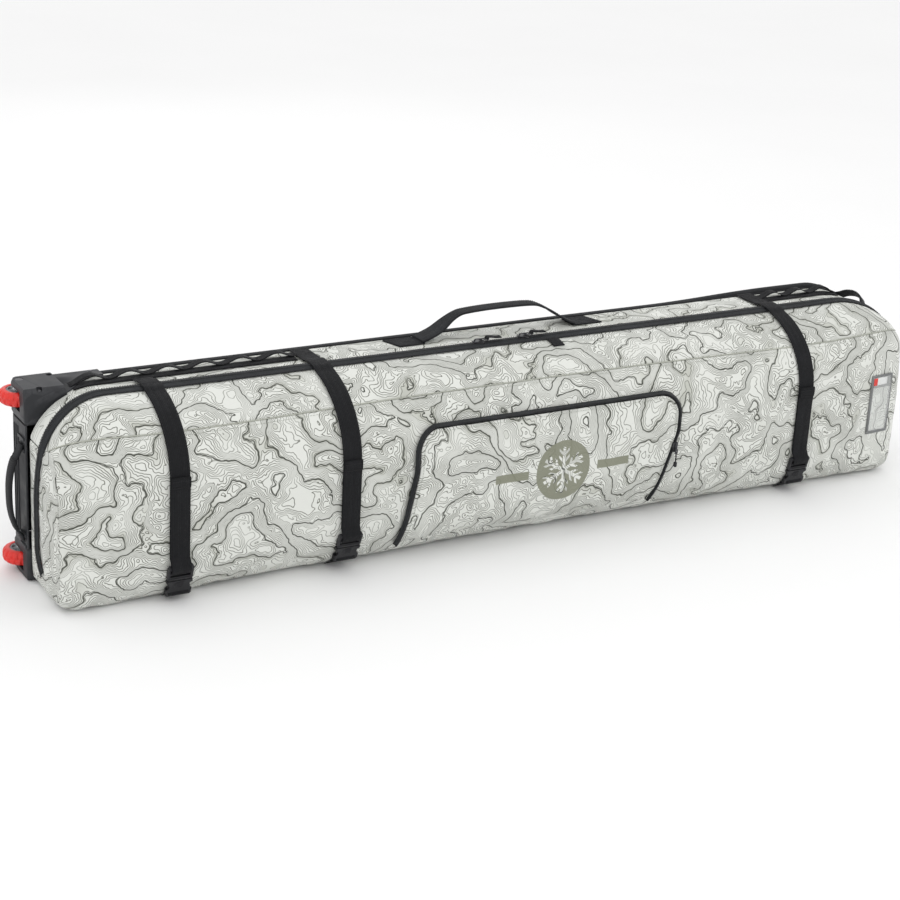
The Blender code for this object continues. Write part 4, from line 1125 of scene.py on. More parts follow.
def make_kick_plate():
    """Moulded L-section between the housings, with shallow ribs."""
    low, high = HOUSING_Z["lower"][1] + 0.0006, HOUSING_Z["upper"][0] - 0.0006
    x0, y0 = HOUSING_LOW
    x1, y1 = HOUSING_HIGH
    t = 0.004
    outer = [(x0, y0), (x0, 0.045), (x0, 0.070), (x0, 0.094), (x0 + 0.003, y1 - 0.008), (x0 + 0.010, y1 - 0.001)]
    outer += [(x0 + 0.014, y1), (-0.900, y1), (-0.880, y1), (x1, y1)]
    inner = [(x0 + t, y0), (x0 + t, 0.045), (x0 + t, 0.070), (x0 + t, 0.092), (x0 + t + 0.002, y1 - 0.011)]
    inner += [(x0 + 0.012, y1 - t - 0.001), (x0 + 0.016, y1 - t), (-0.900, y1 - t), (-0.880, y1 - t), (x1, y1 - t)]
    outline = outer + inner[::-1]
    rows = [[Vector((a, b, z)) for a, b in outline] for z in spread(low, high, 12)]
    mesh = grid_mesh("kick", rows, ring=True, caps=True)
    bevel(piece("kick_plate_moulding", mesh, "moulding", "shell", "kick_plate", facets=40), 0.0010, 2)
    ribs = []
    for y in (0.070, 0.080, 0.090):
        ribs.append(block((x0 - 0.0016, y - 0.0016, low + 0.012), (x0 + 0.001, y + 0.0016, high - 0.012)))
    for x in (-0.915, -0.900, -0.885, -0.870):
        ribs.append(block((x - 0.0016, y1 - 0.001, low + 0.012), (x + 0.0016, y1 + 0.0016, high - 0.012)))
    for z in (0.251, 0.273, 0.067, 0.089):
        ribs.append(block((x0 - 0.0030, 0.034, z - 0.003), (x0 + 0.001, 0.064, z + 0.003)))
    bevel(piece("kick_plate_ribs", blocks_mesh("ribs", ribs), "moulding", "shell", facets=30), 0.0007, 2)


def make_flange():
    """Thin apron of the upper housing that runs on over the bag's back edge."""
    x0, x1 = HOUSING_HIGH[0] - 0.004, -0.775
    rows = []
    for x in spread(x0, x1, 24):
        share = (x - x0) / (x1 - x0)
        front = 0.030 + 0.042 * smooth(share * 1.15)
        rows.append([skin(x, turn_on_top(x, y), 0.0002) for y in spread(BACK_Y - 0.0008, front, 12)])
    apron = piece("wheel_housing_upper_apron", grid_mesh("apron", rows), "moulding", "shell", facets=40)
    thicken(turned_to(apron, Z_AXIS), 0.0030, 1.0)
    bevel(apron, 0.0009, 2)
    heads = []
    for x, y in ((-0.792, 0.094), (-0.815, 0.066)):
        spot = skin(x, turn_on_top(x, y), 0.0028)
        profile = [(0.0, 0.0016), (0.0026, 0.0014), (0.0038, 0.0006), (0.0040, 0.0), (0.0, 0.0)]
        heads.append(closed_turn("head", turned_rows(spot.x, spot.y, spot.z, profile, 20)))
    piece("wheel_housing_upper_apron_rivets", join(heads, "heads"), "black_steel", "shell", facets=40)


def turned_rows(x, y, z, profile, sides, shape=None):
    """Rows of a turned piece about Z: profile gives (radius, height); shape moves a point by its angle."""
    rows = []
    for k in range(sides):
        a = 2 * math.pi * k / sides
        row = []
        for radius, height in profile:
            if shape:
                radius, height = shape(a, radius, height)
            row.append(Vector((x + radius * math.cos(a), y + radius * math.sin(a), z + height)))
        rows.append(row)
    return rows + [rows[0]]


def closed_turn(name, rows):
    mesh = grid_mesh(name, rows, ring=True)
    with editing(mesh) as bm:
        bmesh.ops.remove_doubles(bm, verts=bm.verts, dist=1e-6)
        bmesh.ops.recalc_face_normals(bm, faces=bm.faces)
    return mesh


TREADS = 18
SPOKES = 6


def tread(angle, radius, height):
    """Round knobs in two staggered rows round the tyre, with a groove between them."""
    if radius < 0.030:
        return radius, height
    shift = 0.5 if height > 0 else 0.0
    knob = 0.5 + 0.5 * math.cos(2 * math.pi * (angle * TREADS / (2 * math.pi) + shift))
    groove = 1 - smooth((knob - 0.10) / 0.30)
    middle = 1 - smooth((abs(height) - 0.0006) / 0.0016)
    return radius - 0.0019 * max(groove, 0.8 * middle) * smooth((radius - 0.030) / 0.003), height


def hub_pocket(angle, radius, height):
    """Sinks the hub's face between its spokes."""
    across = abs(math.sin(angle * SPOKES / 2)) * radius
    within = smooth((radius - 0.0130) / 0.0012) * smooth((0.0196 - radius) / 0.0012)
    deep = smooth((across - 0.0050) / 0.0035) * within
    return radius, height - math.copysign(0.0042 * deep, height) if abs(height) > 0.008 else height


def make_wheel(name):
    z = WHEEL_Z[name]
    half = WHEEL_HALF
    crown = [(0.026 + 0.010 * math.cos(a), half - 0.010 + 0.010 * math.sin(a)) for a in spread(math.pi / 2, 0, 10)]
    crown += [(r, -h) for r, h in reversed(crown)]
    crown = [crown[0]] + [p for a, p in zip(crown, crown[1:]) if math.dist(a, p) > 1e-5]
    flat = [p for p in crown if abs(p[1]) > 0.0031]
    centre = [(0.036, h) for h in (0.0022, 0.0015, 0.0008, 0.0, -0.0008, -0.0015, -0.0022)]
    split = sum(1 for p in flat if p[1] > 0)
    profile = [(0.0226, half - 0.0008), (0.0234, half)] + flat[:split] + centre + flat[split:]
    profile += [(0.0234, -half), (0.0226, -half + 0.0008)]
    body = f"wheel_{name}"
    mesh = closed_turn("tyre", turned_rows(*WHEEL, z, profile, 144, tread))
    piece(f"wheel_{name}_treaded_tyre", mesh, "tyre", body, f"wheel_{name}_tyre", facets=50)
    face = half - 0.001
    radii = [0.0113, 0.0120, 0.0128, 0.0134, 0.0142, 0.0152, 0.0166]
    radii += [0.0180, 0.0186, 0.0192, 0.0198, 0.0210, 0.0219]
    hub = [(radii[0], face - 0.0006)] + [(r, face) for r in radii] + [(0.0220, face - 0.0010)]
    hub += [(r, -h) for r, h in reversed(hub)]
    mesh = closed_turn("hub", turned_rows(*WHEEL, z, hub, 144, hub_pocket))
    piece(f"wheel_{name}_spoked_hub", mesh, "hub", body, f"wheel_{name}_hub", facets=50)


# ---- main zip ----
def zip_path(start_shift, lift):
    """Stations of a line beside the main zip, right round: (point, across towards +Y, normal)."""
    def down(side):
        x = side * (LENGTH / 2)
        corner = zip_corner(side)
        made = []
        for z in spread(ZIP_FOOT[1] + 0.008, corner.z - 0.006, 34):
            slope = (zip_line(z + 0.002, side) - zip_line(z - 0.002, side)) / 0.004
            across = Vector((0, 1, -slope)).normalized()
            point = Vector((x + side * (lift + 0.0006), zip_line(z, side), z)) + across * start_shift * 0.62
            made.append((point, across * 0.62, Vector((side, 0, 0))))
        return made

    top = []
    for x in stations(-HALF, HALF):
        normal = surface_normal(x, turn_on_top(x, zip_y(x)))
        behind, ahead = (
            skin(near, turn_on_top(near, zip_y(near))) for near in (max(x - 0.002, -HALF), min(x + 0.002, HALF))
        )
        across = normal.cross((ahead - behind).normalized()).normalized()
        point = skin(x, turn_on_top(x, zip_y(x) + start_shift * abs(across.y)))
        top.append((point + normal * (lift + 0.0010), across, normal))
    stretch = [down(-1), top, down(1)[::-1]]
    return [place for part in stretch for place in part]


def make_main_zip():
    """Two woven tapes that slope up to a coil, each half on its own side of the bag."""
    for name, half, body, wide in (("body", 1, "shell", ZIP_TAPE), ("lid", -1, "lid", ZIP_TAPE + 0.003)):
        lean = half * math.asin(ZIP_PEAK / wide)
        places = []
        for point, across, normal in zip_path(half * (wide / 2 + 0.0003), ZIP_PEAK / 2):
            tilted = across * math.cos(lean) - normal * math.sin(lean) * across.length
            places.append((point, tilted, normal * math.cos(lean) + across * math.sin(lean)))
        band(f"zip_tape_{name}_side", places, wide, 0.0013, "zip_tape", body, f"main_zip_tape_{name}", crown=0.0005)
        line = zip_path(half * 0.0020, ZIP_PEAK + 0.0008)
        points = [place[0] for place in line]
        count = int(length_of(points) / 0.0030)
        blocks = []
        spots = resample(points, count * 2)
        nearest = 0
        for i in range(half > 0, count * 2, 2):
            spot = spots[i]
            while nearest < len(points) - 2:
                if (points[nearest + 1] - spot).length >= (points[nearest] - spot).length:
                    break
                nearest += 1
            _, across, normal = line[nearest]
            turn = frame_at(spot, across, normal)
            blocks.append(block((-0.0023, -0.0009, -0.0006), (0.0023, 0.0009, 0.0014), turn, 0.62))
        piece(f"zip_coil_{name}_side", blocks_mesh("coil", blocks), "zip_teeth", body)
        edge = [(p, a.normalized(), n) for p, a, n in places]
        seam = edge_stitches(edge, [half * (wide / 2 - 0.0022)], 0.0016, pitch=0.0048, long=0.0034, thick=0.0008)
        sewn(f"zip_stitching_{name}_side", seam, body)


def slab(outline, near, far, holes=()):
    """A flat moulding: an outline in its own X and Y, with holes, from near to far along Z."""
    bm = bmesh.new()
    loops = []
    for points in (outline, *holes):
        ring = [bm.verts.new((a, b, near)) for a, b in points]
        loops += [bm.edges.new((a, b)) for a, b in zip(ring, ring[1:] + ring[:1])]
    filled = bmesh.ops.triangle_fill(bm, use_beauty=True, use_dissolve=False, edges=loops)
    faces = [item for item in filled["geom"] if isinstance(item, bmesh.types.BMFace)]
    grown = bmesh.ops.extrude_face_region(bm, geom=faces)
    lifted = [item for item in grown["geom"] if isinstance(item, bmesh.types.BMVert)]
    bmesh.ops.translate(bm, vec=(0, 0, far - near), verts=lifted)
    bmesh.ops.recalc_face_normals(bm, faces=bm.faces)
    mesh = bpy.data.meshes.new("slab")
    bm.to_mesh(mesh)
    bm.free()
    mesh.uv_layers.new(name="cloth")
    return mesh


def rounded(width, height, radius, at=(0.0, 0.0), steps=4):
    x, y = at
    return ring_outline(x - width / 2, y - height / 2, x + width / 2, y + height / 2, (radius,) * 4, steps)


def placed(mesh, matrix):
    mesh.transform(matrix)
    return mesh


def metal(name, mesh, body):
    """A small metal piece that stands for the only CAD node of its body."""
    bevel(piece(name, mesh, "zip_metal", body, body, facets=35), 0.0004, 2)


def make_sliders():
    for name, x in (("wheel_side", -0.052), ("tip_side", 0.048)):
        z = HEIGHT + 0.0042
        wings = [(-0.0120, 0.0030), (-0.0105, 0.0048), (0.0, 0.0060), (0.0090, 0.0074), (0.0120, 0.0060)]
        outline = wings + [(a, -b) for a, b in reversed(wings)]
        lie = Matrix.Translation((x, ZIP_Y, z))
        parts = [slab(outline, 0.0034, 0.0050), slab(outline, 0.0, 0.0014)]
        parts.append(slab(rounded(0.006, 0.004, 0.001, (-0.004, 0.0)), 0.001, 0.0040))
        bridge = [(-0.0085, 0.0), (-0.0075, 0.0036), (-0.0050, 0.0048), (0.0060, 0.0048), (0.0085, 0.0036)]
        bridge += [(0.0095, 0.0), (0.0078, 0.0), (0.0070, 0.0026), (0.0054, 0.0035), (-0.0045, 0.0035)]
        bridge += [(-0.0062, 0.0026), (-0.0070, 0.0)]
        upright = Matrix.Translation((0, 0, 0.0048)) @ Matrix.Rotation(math.pi / 2, 4, "X")
        parts.append(placed(slab(bridge, -0.0016, 0.0016), upright))
        body = f"zip_slider_{name}"
        metal(f"{body}_body", placed(join(parts, "slider"), lie), body)
        body = f"zip_pull_{name}"
        high = z + 0.0063
        pull_x = x + 0.004
        holes = [rounded(0.0088, 0.0060, 0.0025, (0.0052, 0.0)), rounded(0.0060, 0.0070, 0.0020, (0.0145, 0.0))]
        ring = slab(rounded(0.0208, 0.012, 0.0050, (0.0096, 0.0)), 0.0, 0.0016, holes)
        metal(f"{body}_ring", placed(ring, Matrix.Translation((pull_x, ZIP_Y, high))), body)
        bends = [(0.0, -0.0014), (0.0028, 0.0034), (0.010, 0.0030)]
        bends += [(0.020, 0.0012), (0.030, 0.0008), (0.0315, 0.0010)]
        path = [Vector((pull_x + 0.0145 + a, ZIP_Y, high + b)) for a, b in bends]
        band(f"{body}_tab", facing(smooth_path(path, 5), Y_AXIS, Z_AXIS), 0.0130, 0.0024, "webbing", body)
    fold = []
    for y, z in ((-0.0270, 0.0012), (-0.0420, 0.0016), (-0.0560, 0.0012)):
        fold.append(Vector((0.106, y, skin(0.106, turn_on_top(0.106, y)).z + z + 0.001)))
    band("zip_garage_tab", facing(smooth_path(fold, 6), X_AXIS, Z_AXIS), 0.026, 0.0016, "webbing", "lid")


# ---- pocket ----
def pocket_outline():
    """Points (x, z) round the pocket's three zipped sides."""
    bend = POCKET_Z[1] - POCKET_CORNER
    points = [(pocket_side(z, -1), z) for z in spread(POCKET_Z[0] - 0.004, bend, 20)]
    left = pocket_side(bend, -1) + POCKET_CORNER
    right = pocket_side(bend, 1) - POCKET_CORNER
    for a in spread(math.pi, math.pi / 2, 12)[1:]:
        points.append((left + POCKET_CORNER * math.cos(a), bend + POCKET_CORNER * math.sin(a)))
    points += [(x, POCKET_Z[1]) for x in spread(left, right, 36)[1:]]
    for a in spread(math.pi / 2, 0, 12)[1:]:
        points.append((right + POCKET_CORNER * math.cos(a), bend + POCKET_CORNER * math.sin(a)))
    return points + [(pocket_side(z, 1), z) for z in spread(bend, POCKET_Z[0] - 0.004, 20)[1:]]


def pocket_places(inset, lift):
    """Stations along the pocket's edge: across points inwards, the normal outwards from the lid."""
    made = []
    outline = [Vector((x, 0, z)) for x, z in pocket_outline()]
    for i, point in enumerate(outline):
        ahead = outline[min(i + 1, len(outline) - 1)] - outline[max(i - 1, 0)]
        x, z = point.x, point.z
        turn = turn_at_height(x, z)
        normal = skin_normal(x, turn)
        run = Vector((ahead.x, 0, ahead.z)).normalized()
        run = (run - normal * run.dot(normal)).normalized()
        across = normal.cross(run).normalized()
        made.append((skin(x, turn, lift) - across * inset, across, normal))
    return made


def make_pocket():
    rim = POCKET_RIM - 0.003
    low, high = POCKET_Z[0] - 0.006, POCKET_Z[1] - rim
    heights = spread(low, high - POCKET_CORNER, 16) + spread(high - POCKET_CORNER, high, 16)[1:]
    heights = [min(z, high - 0.0004) for z in heights]
    rows, uvs, held = [], [], []
    across = 44
    for r, z in enumerate(heights):
        left, right = pocket_side(z, -1, rim), pocket_side(z, 1, rim)
        row, places, firmness = [], [], []
        for c, x in enumerate(spread(left, right, across)):
            edge = min(x - left, right - x, high - z)
            rise = TRIM_LIFT + (POCKET_OUT - 0.001) * smooth((z - low) / 0.030)
            puff = 0.0050 * smooth(edge / 0.06) * smooth((z - low) / 0.10)
            row.append(skin(x, turn_at_height(x, z), rise + puff))
            places.append((x, z))
            firmness.append(1.0 if min(c, across - c, r, len(heights) - 1 - r) == 0 else 0.15)
        rows.append(row[::-1])
        uvs.append(places[::-1])
        held.append(firmness[::-1])
    panel = fabric("pocket_front_fabric", rows, uvs, held, "print_pocket", "lid", "pocket_panel", pull=0.55)
    turned_to(panel, -Y_AXIS)
    places = pocket_places(POCKET_RIM / 2, TRIM_LIFT - 0.001)
    wide, thick = POCKET_RIM - 0.001, POCKET_OUT + 0.001
    band("pocket_zip_piping", places, wide, thick, "zip_tape", "lid", "pocket_zip_rim", crown=0.0016)
    line = pocket_places(POCKET_RIM / 2 + 0.0005, TRIM_LIFT + POCKET_OUT + 0.0012)
    points = [p[0] for p in line]
    count = int(length_of(points) / 0.0026)
    spots = resample(points, count)
    blocks = []
    for i, spot in enumerate(spots[:-1]):
        at = min(len(line) - 1, int(i / count * len(line)))
        turn = frame_at(spot, line[at][1], line[at][2])
        blocks.append(block((-0.0024, -0.0008, -0.0004), (0.0024, 0.0008, 0.0010), turn, 0.6))
    piece("pocket_zip_coil", blocks_mesh("coil", blocks), "zip_teeth", "lid")
    inner = pocket_places(POCKET_RIM + 0.0045, TRIM_LIFT + POCKET_OUT + 0.0008)
    seam = edge_stitches(inner, [0.0], 0.0, pitch=0.0055, long=0.0038, thick=0.0008)
    sewn("pocket_topstitching", seam, "lid", "pale_thread")
    make_pocket_slider()


def make_pocket_slider():
    z = 0.158
    x = pocket_side(z, 1) - POCKET_RIM / 2
    y = skin(x, turn_at_height(x, z)).y - POCKET_OUT - TRIM_LIFT - 0.0020
    lie = Matrix.Translation((x, y, z)) @ Matrix.Rotation(math.pi / 2, 4, "X")
    wings = [(0.0030, -0.010), (0.0046, -0.008), (0.0052, 0.0), (0.0060, 0.008), (0.0050, 0.010)]
    outline = wings + [(-a, b) for a, b in reversed(wings)]
    bridge = rounded(0.0030, 0.0150, 0.0014)
    parts = [placed(slab(outline, 0.0, 0.0030), lie), placed(slab(bridge, 0.0028, 0.0048), lie)]
    metal("pocket_slider_body", join(parts, "slider"), "pocket_slider")
    hole = rounded(0.0036, 0.0044, 0.0016, (0, -0.0058))
    ring = slab(rounded(0.0070, 0.0112, 0.0030, (0, -0.0074)), 0.0064, 0.0081, [hole])
    cord = [Vector((x, y - out, z - low)) for out, low in ((0.0071, 0.011), (0.0080, 0.020), (0.0076, 0.030))]
    metal("pocket_pull_ring", placed(ring, lie), "pocket_pull")
    tube("pocket_pull_cord", smooth_path(cord, 6), 0.0013, "binding", "pocket_pull")
    end = placed(slab(rounded(0.0066, 0.0110, 0.0028), 0.0058, 0.0092),
                 Matrix.Translation((0, 0, -0.0345)) @ lie)
    bevel(piece("pocket_pull_toggle", end, "buckle", "pocket_pull", facets=35), 0.0010, 3)


# ---- compression straps ----
def buckle_frame(name, x):
    first = turn_at_height(x, BUCKLE_Z[name])
    point = skin(x, first)
    last = first
    while (skin(x, last) - point).length < PLUG_LONG + SOCKET_LONG:
        last += 0.005
    down = (skin(x, last) - point).normalized()
    out = down.cross(X_AXIS)
    crown = max((skin(x, turn) - point).dot(out) for turn in spread(first, last, 20))
    return point + out * (crown + BUCKLE_CLEAR), down, out


def make_buckle(name, point, down, out):
    """Side-release buckle: a ladder-lock plug with two springy arms, in a socket open at its sides."""
    place = Matrix((down.cross(out), down, out)).transposed().to_4x4()
    place.translation = point
    half = BUCKLE_WIDE / 2
    right = [(half - 0.003, 0.0), (half, 0.003), (half, 0.0265), (half - 0.003, 0.0298)]
    plug_outline = [(-half + 0.003, 0.0), *right, (-half + 0.003, 0.0298), (-half, 0.0265), (-half, 0.003)]
    slots = [rounded(0.0390, 0.0055, 0.0012, (0, 0.0085)), rounded(0.0390, 0.0050, 0.0012, (0, 0.0195))]
    parts = [slab(plug_outline, 0.0006, 0.0078, slots)]
    parts.append(slab(rounded(0.0400, 0.0034, 0.0014, (0, 0.0032)), 0.0076, 0.0090))
    parts.append(slab(rounded(0.0400, 0.0030, 0.0014, (0, 0.0140)), 0.0076, 0.0096))
    parts.append(slab(rounded(0.0440, 0.0040, 0.0016, (0, 0.0268)), 0.0076, 0.0088))
    for side in (-1, 1):
        arm = [(0.0135, 0.029), (0.0190, 0.029), (0.0190, 0.036), (0.0205, 0.041), (0.0205, 0.046)]
        arm += [(0.0170, 0.0480), (0.0145, 0.047), (0.0165, 0.040), (0.0140, 0.034)]
        parts.append(slab([(side * a, b) for a, b in arm], 0.0030, 0.0070))
    parts.append(slab([(-0.003, 0.029), (0.003, 0.029), (0.002, 0.045), (-0.002, 0.045)], 0.0036, 0.0064))
    strap = f"strap_{name}"
    plug = placed(join(parts, "plug"), place)
    plug = piece(f"{strap}_ladder_plug", plug, "buckle", f"{strap}_upper", f"{strap}_plug", facets=35)
    bevel(plug, 0.0007, 2, 40)
    start = PLUG_LONG + 0.0006
    end = start + SOCKET_LONG
    left = [(half - a, start + b) for a, b in (
        (0.001, 0.0), (0.0, 0.002), (0.0, 0.0055), (0.0045, 0.008), (0.0052, 0.013), (0.0035, 0.0175), (0.0, 0.020),
    )]
    left += [(half, end - 0.003), (half - 0.003, end)]
    outline = left + [(-a, b) for a, b in reversed(left)]
    slot = [rounded(0.0390, 0.0052, 0.0012, (0, end - 0.0067))]
    parts = [slab(outline, 0.0, 0.0020, slot), slab(outline, 0.0075, 0.0093, slot)]
    parts.append(slab([(-half + 0.001, end - 0.0125), (half - 0.001, end - 0.0125), (half, end - 0.003),
                       (half - 0.003, end), (-half + 0.003, end), (-half, end - 0.003)], 0.0015, 0.0080, slot))
    for side in (-1, 1):
        corners = ((0.0, 0.0), (0.0022, 0.0), (0.0022, 0.0055), (0.0, 0.0055))
        wall = [(side * (half - a), start + b) for a, b in corners]
        parts.append(slab(wall, 0.0015, 0.0080))
    parts.append(slab(rounded(0.0200, 0.0130, 0.0050, (0, start + 0.0100)), 0.0090, 0.0101))
    for b in (0.006, 0.010, 0.014):
        parts.append(slab(rounded(0.0120, 0.0016, 0.0007, (0, start + b)), 0.0098, 0.0108))
    socket = placed(join(parts, "socket"), place)
    socket = piece(f"{strap}_side_release_socket", socket, "buckle", "lid", f"{strap}_socket", facets=35)
    bevel(socket, 0.0006, 2, 40)


def strap_places(x, turns, lift, cell=0.006):
    points = []
    for turn in turns:
        over_zip = smooth((0.026 - abs(skin(x, turn).y - ZIP_Y)) / 0.010) if turn < 1.5 else 0.0
        points.append(skin(x, turn, lift + ZIP_PEAK * 1.25 * over_zip))
    return facing(resample(points, max(2, int(length_of(points) / cell))), -X_AXIS)


def cross_stitch(corners, normal):
    """A box with a cross in it, sewn through a strap end."""
    a, b, c, d = corners
    made = []
    for start, end in ((a, b), (b, c), (c, d), (d, a), (a, c), (b, d)):
        made += stitches([start, end], [normal], pitch=0.0034, long=0.0026, thick=0.0007, rise=0.0004)
    return made


def make_straps():
    for name, (x, top_y) in STRAPS.items():
        point, down, out = buckle_frame(name, x)
        body = f"strap_{name}_upper"
        start = turn_on_top(x, top_y)
        last = turn_at_height(x, BUCKLE_Z[name] + 0.010)
        places = strap_places(x, spread(start, last, 120), WEB_LIFT)
        end = point + down * 0.0085 + out * 0.0040
        tail_in = [places[-1][0], point - down * 0.003 + out * 0.0020, point + down * 0.003 + out * 0.0060, end]
        places = places[:-1] + facing(smooth_path(tail_in, 4), -X_AXIS)
        main = band(f"strap_{name}_band", places, WEB_WIDE, WEB_THICK, "webbing", body, f"strap_{name}_webbing")
        main["strap"] = name
        aside = WEB_WIDE / 2 - 0.0026
        sizes = {"pitch": 0.0052, "long": 0.0036, "thick": 0.0007, "rise": 0.00035}
        seam = edge_stitches(places[1:-3], (-aside, aside), WEB_THICK, **sizes)
        tail = strap_places(x, spread(TAIL_TURN, last, 60), WEB_LIFT + WEB_THICK + 0.0004)
        lifted = []
        for i, (p, a, n) in enumerate(tail):
            lift = 0.0016 * (1 - smooth(i / 5)) + 0.0006 * math.sin(i * 0.55)
            lifted.append((p + n * max(0.0, lift), a, n))
        end = [point + down * 0.001 + out * 0.0090, point + down * 0.013 + out * 0.0105]
        tail = lifted + facing([lifted[-1][0], *end], -X_AXIS)[1:]
        band(f"strap_{name}_tail", tail, WEB_WIDE - 0.0006, WEB_THICK, "webbing", body)
        hem = [(p + n * (WEB_THICK + 0.0001), a, n) for p, a, n in tail[:4]]
        band(f"strap_{name}_tail_hem", hem, WEB_WIDE - 0.001, WEB_THICK, "webbing", body)
        rows = []
        for i in (1, 3):
            p, a, n = hem[i]
            high = p + n * (WEB_THICK + 0.0002)
            sizes = {"pitch": 0.0030, "long": 0.0022, "thick": 0.0007, "rise": 0.0004}
            rows += stitches([high - a * 0.017, high + a * 0.017], [n], **sizes)
        sewn(f"strap_{name}_tail_stitching", rows, body)
        (p, a, n), (q, b, _) = places[1], places[6]
        lift = n * (WEB_THICK + 0.0002)
        corners = [p - a * 0.015 + lift, p + a * 0.015 + lift, q + b * 0.015 + lift, q - b * 0.015 + lift]
        sewn(f"strap_{name}_stitching", seam + cross_stitch(corners, n), body)["strap"] = name
        make_buckle(name, point, down, out)
        bar = point + down * (PLUG_LONG + SOCKET_LONG - 0.0060) + out * 0.0036
        low = point + down * (PLUG_LONG + SOCKET_LONG + ANCHOR_BELOW)
        ends = [skin(x, t, TRIM_LIFT) for t in spread(turn_below(x, low.y), turn_at_height(x, ANCHOR_FOOT), 8)]
        lower = [bar, bar + down * 0.009 - out * 0.0008, *ends]
        places = facing(resample(smooth_path(lower, 5), 14), -X_AXIS)
        band(f"strap_{name}_lower_band", places, WEB_WIDE, WEB_THICK, "webbing", "lid", f"strap_{name}_anchor")
        round_bar = ((0.001, -0.0018), (-0.0035, 0.0002), (-0.0020, 0.0042), (0.004, 0.0040))
        loop = [bar + down * a + out * b for a, b in round_bar]
        loop += [p + n * (WEB_THICK + 0.0003) for p, _, n in places[3:9]]
        places = facing(smooth_path(loop, 4), -X_AXIS)
        band(f"strap_{name}_lower_loop", places, WEB_WIDE - 0.001, WEB_THICK, "webbing", "lid")


# ---- handles and trim ----
def make_carry_handle():
    top = HEIGHT + 0.0035
    low_y, high_y = 0.026, 0.072
    outline = [
        (-0.150, top + 0.0015), (-0.135, top + 0.006), (-0.110, 0.380), (-0.085, 0.398), (-0.065, 0.408),
        (-0.045, 0.411), (0.0, 0.413), (0.060, 0.413), (0.100, 0.411), (0.120, 0.405), (0.145, 0.392),
        (0.165, 0.379), (0.182, top + 0.006), (0.194, top + 0.0015),
    ]
    middle = (low_y + high_y) / 2
    path = smooth_path([Vector((x, middle, z)) for x, z in outline], 5)
    places = []
    for p, a, n in facing(path, Y_AXIS, Z_AXIS):
        grip = smooth((p.z - HEIGHT - 0.020) / 0.030)
        places.append((p - n * HANDLE_SINK, a * (1 - 0.34 * grip), n))
    wide = high_y - low_y
    body = "carry_handle"
    band(f"{body}_band", places, wide, HANDLE_THICK, "handle_webbing", body, body, crown=0.0008)
    asides = [inset - wide / 2 for inset in (0.0035, 0.0160, 0.0300, 0.0425)]
    sewn(f"{body}_stitching", edge_stitches(places, asides, 0.0036, thick=0.0008), body)
    low, back = low_y + 0.001, high_y - 0.001
    for name, start, end, slants in (
        ("wheel_side", -0.215, -0.145, (0.016, 0.0)), ("tip_side", 0.189, 0.258, (0.0, 0.016)),
    ):
        corners = [(start + slants[0], low), (end, low), (end - slants[1], back), (start, back)]
        patch = slab(corners, HEIGHT + 0.0005, HEIGHT + 0.0035)
        node = f"carry_handle_anchor_{name}"
        bevel(piece(f"carry_handle_patch_{name}", patch, "handle_webbing", "shell", node, facets=40), 0.0009, 2)
        centre = (start + end) / 2
        inset = [
            Vector((x + math.copysign(0.005, centre - x), y + math.copysign(0.005, middle - y), HEIGHT + 0.0037))
            for x, y in corners
        ]
        sewn(f"carry_handle_box_stitch_{name}", cross_stitch(inset, Z_AXIS), "shell")


def grab_handle(body, places, wide, crown):
    places = [(p - n * HANDLE_SINK, a, n) for p, a, n in places]
    band(f"{body}_band", places, wide, HANDLE_THICK, "handle_webbing", body, body, crown=crown)
    return places


def make_end_handles():
    x = HOUSING_LOW[0] - 0.0025
    outline = [
        (0.0, 0.262), (-0.004, 0.250), (-0.016, 0.225), (-0.022, 0.195), (-0.023, 0.165),
        (-0.021, 0.135), (-0.014, 0.108), (-0.004, 0.090), (0.0, 0.078),
    ]
    path = smooth_path([Vector((x + a, 0.049, z)) for a, z in outline], 6)
    places = grab_handle("wheel_end_handle", facing(path, Y_AXIS, -X_AXIS), 0.026, 0.0010)
    grip = [(p - n * 0.0012, a, n) for p, a, n in places[10:39]]
    band("wheel_end_handle_grip", grip, 0.0285, 0.0056, "binding", "wheel_end_handle", crown=0.0012)
    sizes = {"pitch": 0.0048, "long": 0.0034, "thick": 0.0008, "rise": 0.0007}
    seam = edge_stitches(places[1:-1], (-0.0095, 0.0095), 0.0036, **sizes)
    sewn("wheel_end_handle_stitching", seam, "wheel_end_handle")

    out = Vector((1, 0, 1)).normalized()
    along = Vector((1, 0, -1)).normalized()
    foot = skin(0.915, 0) + out * 0.005
    bow = [(0.0, 0.093), (0.004, 0.086), (0.013, 0.074), (0.018, 0.058)]
    bow += [(0.018, 0.042), (0.013, 0.026), (0.004, 0.014), (0.0, 0.007)]
    path = smooth_path([Vector((foot.x, y, foot.z)) + out * a for a, y in bow], 6)
    places = grab_handle("tip_end_handle", facing(path, along, out), 0.022, 0.0008)
    sizes = {"pitch": 0.0044, "long": 0.0032, "thick": 0.0008, "rise": 0.0007}
    sewn("tip_end_handle_stitching", edge_stitches(places, (-0.0085, 0.0085), 0.0036, **sizes), "tip_end_handle")
    for name, y in (("back", 0.0965), ("front", 0.0040)):
        lie = frame_at(Vector((foot.x, y, foot.z)) - out * 0.0036, Y_AXIS, out)
        patch = placed(slab(rounded(0.013, 0.024, 0.002), 0.0, 0.0034), lie)
        bevel(piece(f"tip_end_handle_{name}_tab", patch, "handle_webbing", "shell", facets=40), 0.0008, 2)


